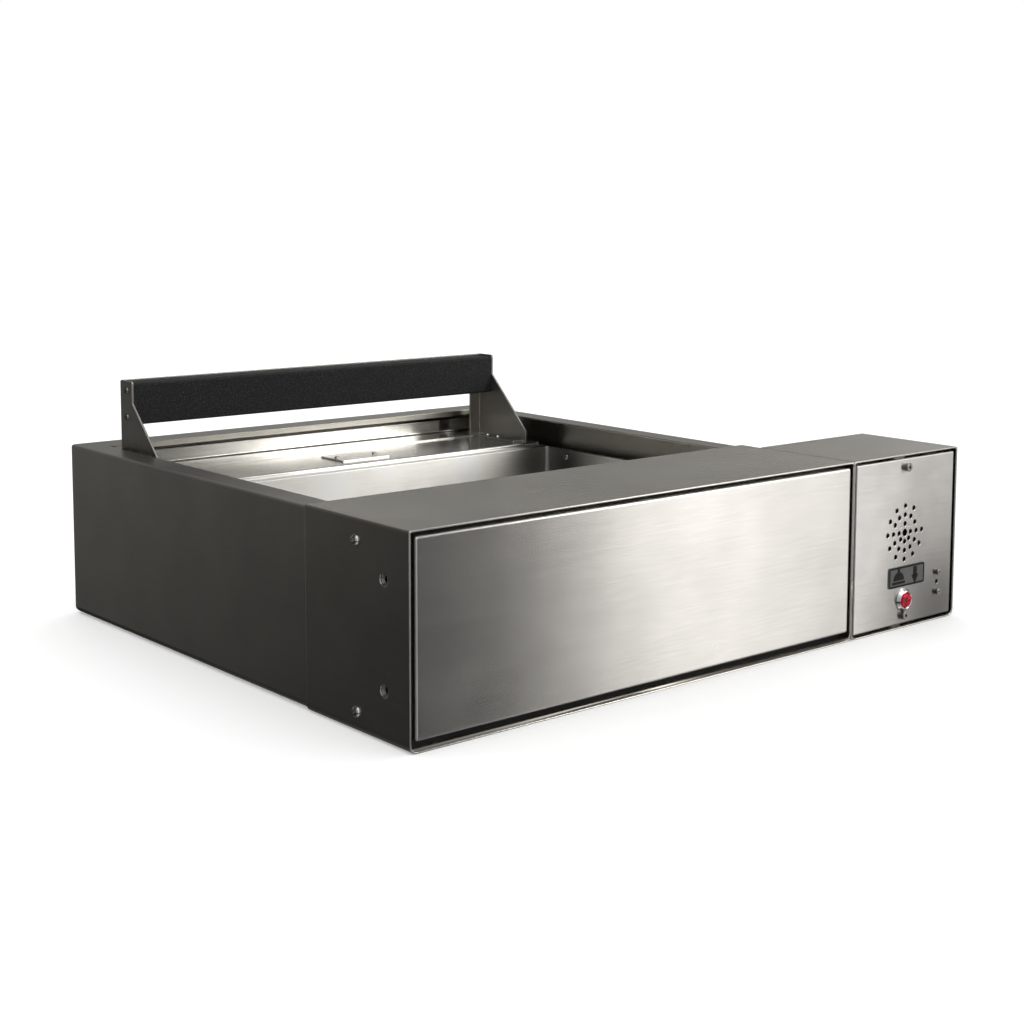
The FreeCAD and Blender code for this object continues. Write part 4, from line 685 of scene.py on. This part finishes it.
finish_nodes(polished("bright screws", (0.58, 0.57, 0.55), 0.13), "bezel_screws",
             "front_screws", "foot_screws", "nameplate_screws", "back_cover_screws",
             "unit_bolts", "slide_screws")
# Painted shade: the bright screws' polished steel, painted darker.
finish_nodes(polished("screws with painted shade", (0.30, 0.29, 0.275), 0.17), "face_screws",
             "microphone_screws", "handle_screws", "bin_screws")
finish_nodes(polished("chrome ring", (0.86, 0.86, 0.87), 0.07), "button_bezel")

# %% [markdown]
# ## Rubber, moulded plastic and paper
#
# The dark pieces are not metal, so they have a colour of their own and only a weak sheen.
# What tells them apart is the relief: rubber and plastic have a fine even grain from the
# mould, and the push bar a coarse leathery one that glitters.  That glitter is painted: some
# grains are lightened in the colour as painted glints.  A displaced mesh would be far too heavy
# for grain half a millimetre wide, so a Bump node tilts the shading instead.

# %% Dark moulded materials
# How pale a film turns the surface, how much of an edge is rubbed, and how dull grain makes it.
FILM_PALE, RUBBED, GRAIN_DULLS = 1.7, 0.35, 0.18
# The noise where a grain's painted glint starts and where it is brightest.
PAINTED_GLITTER_RANGE = (0.5, 0.75)


def moulded(name, tint, rough, grain_size, depth, sheen=0.5, worn_and_glint=(0.16, 0.16, 0.165),
            painted_glitter=0.0):
    """A dark moulded material with grain in relief, paler where its edges are rubbed, and with
    painted glints on some grains when glitter is asked for.
    """
    made, tree, shader, where = start_finish(name)
    edge = use(tree, edges, Place=where, Width=0.0008)["Edge"]
    marks = use(tree, handling, Place=where, Amount=0.6)
    cells = add(tree, "ShaderNodeTexVoronoi", {"Vector": where, "Scale": 1 / grain_size},
                feature="SMOOTH_F1").outputs["Distance"]
    rubbed = maths(tree, "MULTIPLY", edge, RUBBED)
    filmed = tuple(c * FILM_PALE for c in tint)
    body = mixed(tree, marks["Film"], (*tint, 1), (*filmed, 1))
    # Painted glints: some grains lightened towards the worn colour.
    if painted_glitter:
        grains = add(tree, "ShaderNodeTexNoise", {"Vector": where, "Scale": 0.8 / grain_size,
                                                  "Detail": 1.0}).outputs[0]
        painted_glint = ranged(tree, grains, *PAINTED_GLITTER_RANGE)
        body = mixed(tree, maths(tree, "MULTIPLY", painted_glint, painted_glitter), body, (*worn_and_glint, 1))
    dusty = mixed(tree, marks["Specks"], body, (*worn_and_glint, 1))
    tree.links.new(mixed(tree, rubbed, dusty, (*worn_and_glint, 1)), shader.inputs["Base Color"])
    tree.links.new(maths(tree, "MULTIPLY_ADD", cells, GRAIN_DULLS, rough),
                   shader.inputs["Roughness"])
    shader.inputs["Specular IOR Level"].default_value = sheen
    bump = add(tree, "ShaderNodeBump", {"Height": cells, "Strength": 0.8,
                                        "Distance": depth}).outputs[0]
    tree.links.new(bump, shader.inputs["Normal"])
    return made


finish_nodes(moulded("push bar plastic", (0.004, 0.0045, 0.006), 0.46, 0.0011, 0.0005, 0.26,
                     painted_glitter=0.2), "handle_bar")
finish_nodes(moulded("microphone felt", (0.012, 0.012, 0.012), 0.9, 0.0004, 0.00006, 0.1),
             "microphone")
finish_nodes(moulded("seal rubber", (0.022, 0.021, 0.022), 0.62, 0.0006, 0.00005, 0.3),
             "weather_seal", "rear_bumpers", "cable_grommet", "speaker_gasket")
finish_nodes(moulded("switch plastic", (0.045, 0.045, 0.05), 0.45, 0.0005, 0.00003),
             "button_switch", "microphone_holder", "terminal_block")
finish_nodes(moulded("speaker paper", (0.012, 0.009, 0.008), 0.85, 0.0009, 0.00006, 0.1),
             "speaker_cone")
finish_nodes(moulded("speaker enamel", (0.05, 0.05, 0.052), 0.35, 0.0012, 0.00002),
             "speaker_frame")
finish_nodes(moulded("ferrite", (0.14, 0.14, 0.14), 0.55, 0.0007, 0.00006, 0.4,
                     (0.3, 0.3, 0.3)), "speaker_magnet")
finish_nodes(moulded("legend laminate", (0.075, 0.075, 0.073), 0.45, 0.0004, 0.00001, 0.3,
                     (0.2, 0.2, 0.2)), "legend_plate")

# %% [markdown]
# ## The red lens
#
# The call button is a clear red cap over a rough diffuser.  Real glass over a lamp would need
# many light paths for a piece of 16 mm, so the light through the cap is painted in: an opaque
# red that deepens towards its middle and is painted lighter towards its rim, with the
# diffuser's facets as painted glints in brighter cells and a hard clear coat on top.

# %% Red lens
# Painted light: the rim's red and the facets' red stand in for light through the cap.
DEEP_RED, PAINTED_RIM_LIGHT_RED = (0.09, 0.0, 0.002, 1), (0.24, 0.0, 0.006, 1)
PAINTED_GLINT_RED = (0.72, 0.006, 0.04, 1)
# Metres from the middle where the painted light starts to lighten the red and where it is the
# rim's.
PAINTED_RIM_LIGHT_RANGE = (0.002, 0.0085)
# A facet's random number where its painted glint starts and where it is brightest.
PAINTED_GLINT_RANGE = (0.35, 1.0)
LENS_ROUGH, LENS_FILM = 0.18, 0.1


def lens_plastic(name, centre):
    """Red plastic with painted light: deeper in its middle, lighter at its rim and in glinting
    facets, under a hard clear coat.
    """
    made, tree, shader, where = start_finish(name)
    rim = ranged(tree, vector_maths(tree, "DISTANCE", where, centre), *PAINTED_RIM_LIGHT_RANGE)
    facets = add(tree, "ShaderNodeTexVoronoi", {"Vector": where, "Scale": 330.0}).outputs["Color"]
    sparkle = add(tree, "ShaderNodeSeparateColor", {0: facets}).outputs[0]
    painted_glint = ranged(tree, sparkle, *PAINTED_GLINT_RANGE)
    marks = use(tree, handling, Place=where, Amount=0.4)
    depth = mixed(tree, rim, DEEP_RED, PAINTED_RIM_LIGHT_RED)
    tree.links.new(mixed(tree, painted_glint, depth, PAINTED_GLINT_RED), shader.inputs["Base Color"])
    tree.links.new(maths(tree, "MULTIPLY_ADD", marks["Film"], LENS_FILM, LENS_ROUGH),
                   shader.inputs["Roughness"])
    shader.inputs["Specular IOR Level"].default_value = 0.08
    shader.inputs["Coat Weight"].default_value = 0.25
    shader.inputs["Coat Roughness"].default_value = 0.04
    return made


lens_low, lens_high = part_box("button_lens")
lens_centre = (lens_low + lens_high) / 2
lens_centre.y = lens_low.y
finish_nodes(lens_plastic("red lens with painted light", lens_centre), "button_lens")

# %% [markdown]
# ## The legend
#
# The plate over the button tells a customer what the button does.  A bell needs no words, and
# an arrow points down to the button.  The marks could be a mask in the plate's material, but
# their edges would then be as soft as the mask.  They are built as thin raised shapes, like
# thick print, with a line round the plate's edge.

# %% A helper for finished pieces
def piece(name, mesh, material, body):
    """Turn a bmesh into a piece that rides on a CAD body."""
    bmesh.ops.recalc_face_normals(mesh, faces=mesh.faces)
    made = new_object(name, mesh)
    made.data.materials.append(material)
    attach(made, body)
    print(f"{name}: {len(made.data.polygons)} faces")


print("piece helper ready")

# %% Where the legend's marks go
legend_low, legend_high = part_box("legend_plate")
legend_mid = (legend_low + legend_high) / 2
MM = 0.001
RAISED = 0.12 * MM
UPRIGHT = Matrix.Rotation(math.radians(90), 4, "X")
ink = moulded("legend ink", (0.006, 0.006, 0.006), 0.5, 0.0005, 0.00001, 0.2,
              (0.03, 0.03, 0.03))


def on_legend(right, up):
    """The matrix that stands a flat shape on the plate, in millimetres from its middle."""
    spot = Vector((legend_mid.x + right * MM, legend_low.y, legend_mid.z + up * MM))
    return Matrix.Translation(spot) @ UPRIGHT


print(f"legend plate {(legend_high.x - legend_low.x) / MM:.0f} mm wide")

# %% Flat marks, and how they are raised
def raise_mark(mesh, faces):
    """Give flat marks their thickness, towards the reader."""
    grown = bmesh.ops.extrude_face_region(mesh, geom=faces)["geom"]
    moved = [part for part in grown if isinstance(part, bmesh.types.BMVert)]
    bmesh.ops.translate(mesh, verts=moved, vec=(0, -RAISED, 0))


def faces_of(made):
    """The faces that a create_ operator has made."""
    return list({face for vert in made["verts"] for face in vert.link_faces})


def bar_mark(mesh, right, up, wide, high):
    """A filled rectangle on the plate."""
    placed = on_legend(right, up) @ Matrix.Diagonal((wide, high, 1, 1))
    return faces_of(bmesh.ops.create_grid(mesh, x_segments=1, y_segments=1, size=MM / 2,
                                          matrix=placed))


def disc_mark(mesh, right, up, radius, segments, turn=0.0):
    """A filled disc on the plate, or a triangle when it has three sides."""
    placed = on_legend(right, up) @ Matrix.Rotation(math.radians(turn), 4, "Z")
    return faces_of(bmesh.ops.create_circle(mesh, cap_ends=True, segments=segments,
                                            radius=radius * MM, matrix=placed))


print("flat bars, discs and triangles ready")

# %% Border
# Millimetres, as in all the marks.
MARGIN, LINE, CORNER = 0.25, 2.0, 2.4

border = bmesh.new()
wide, high = [(legend_high[axis] - legend_low[axis]) / MM - 2 * MARGIN for axis in (0, 2)]
bar_mark(border, 0, 0, wide, high)
bmesh.ops.bevel(border, geom=list(border.verts), offset=CORNER * MM, affect="VERTICES",
                segments=5, profile=0.5, material=-1)
inner = bmesh.ops.inset_region(border, faces=list(border.faces), thickness=LINE * MM,
                               use_boundary=True, use_even_offset=True)["faces"]
middle = [face for face in border.faces if face not in inner]
bmesh.ops.delete(border, geom=middle, context="FACES_ONLY")
raise_mark(border, list(border.faces))
piece("legend_border", border, ink, "housing")

# %% Service bell and arrow
# The bell stands left of the plate's middle and the arrow right of it.
BELL, ARROW = -14, 14
DOME_FOOT, DOME_RADIUS = -3.6, 9.2
BASE_UP, BASE_WIDE, BASE_HIGH = -6.2, 22, 2.9
KNOB_UP, KNOB_RADIUS = 7.2, 2.3
SHAFT_UP, SHAFT_WIDE, SHAFT_HIGH = 3.4, 6.6, 10
POINT_UP, POINT_RADIUS = -4.0, 7.0
POINTS_DOWN = 180

signs = bmesh.new()
bell_dome = disc_mark(signs, BELL, DOME_FOOT, DOME_RADIUS, 48)
bmesh.ops.bisect_plane(signs, geom=list(signs.verts) + list(signs.edges) + bell_dome,
                       plane_co=on_legend(BELL, DOME_FOOT).translation, plane_no=(0, 0, 1),
                       clear_inner=True)
flat = list(signs.faces)
flat += bar_mark(signs, BELL, BASE_UP, BASE_WIDE, BASE_HIGH)
flat += disc_mark(signs, BELL, KNOB_UP, KNOB_RADIUS, 20)
flat += bar_mark(signs, ARROW, SHAFT_UP, SHAFT_WIDE, SHAFT_HIGH)
flat += disc_mark(signs, ARROW, POINT_UP, POINT_RADIUS, 3, POINTS_DOWN)
raise_mark(signs, flat)
piece("legend_bell", signs, ink, "housing")

# %% [markdown]
# ## The hem of the bezel
#
# A bare sheet edge at hand height would cut, so such a lip is often hemmed: the sheet is folded
# back on itself.  Here the fold is taken to stand up as a small round bead along the lower lip,
# under the drawer front.  A profile swept along the lip could make it, but it is one straight
# bar with its upper edges rounded, so a cube with a bevel is enough.

# %% Hem
HEM_DEEP, HEM_HIGH, HEM_ROUND = 2.8 * MM, 2.8 * MM, 1.3 * MM
# In from the bezel's sides, back from its front edge and up from its underside.
HEM_IN, HEM_BACK, HEM_UP = 3.0 * MM, 0.1 * MM, 1.7 * MM
LONG_EDGE = 0.1

shell_low, shell_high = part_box("bezel_shell")
hem = bmesh.new()
hem_size = Matrix.Diagonal((shell_high.x - shell_low.x - 2 * HEM_IN, HEM_DEEP, HEM_HIGH, 1))
hem_spot = Vector(((shell_low.x + shell_high.x) / 2, shell_low.y + HEM_DEEP / 2 + HEM_BACK,
                   shell_low.z + HEM_UP + HEM_HIGH / 2))
bmesh.ops.create_cube(hem, size=1.0, matrix=Matrix.Translation(hem_spot) @ hem_size)
upper = [edge for edge in hem.edges
         if all(vert.co.z > hem_spot.z for vert in edge.verts)
         and edge.calc_length() > LONG_EDGE]
bmesh.ops.bevel(hem, geom=upper, offset=HEM_ROUND, affect="EDGES", segments=5, profile=0.5,
                material=-1)
for face in hem.faces:
    face.smooth = True
piece("bezel_hem", hem, bpy.data.materials["hood steel"], "housing")
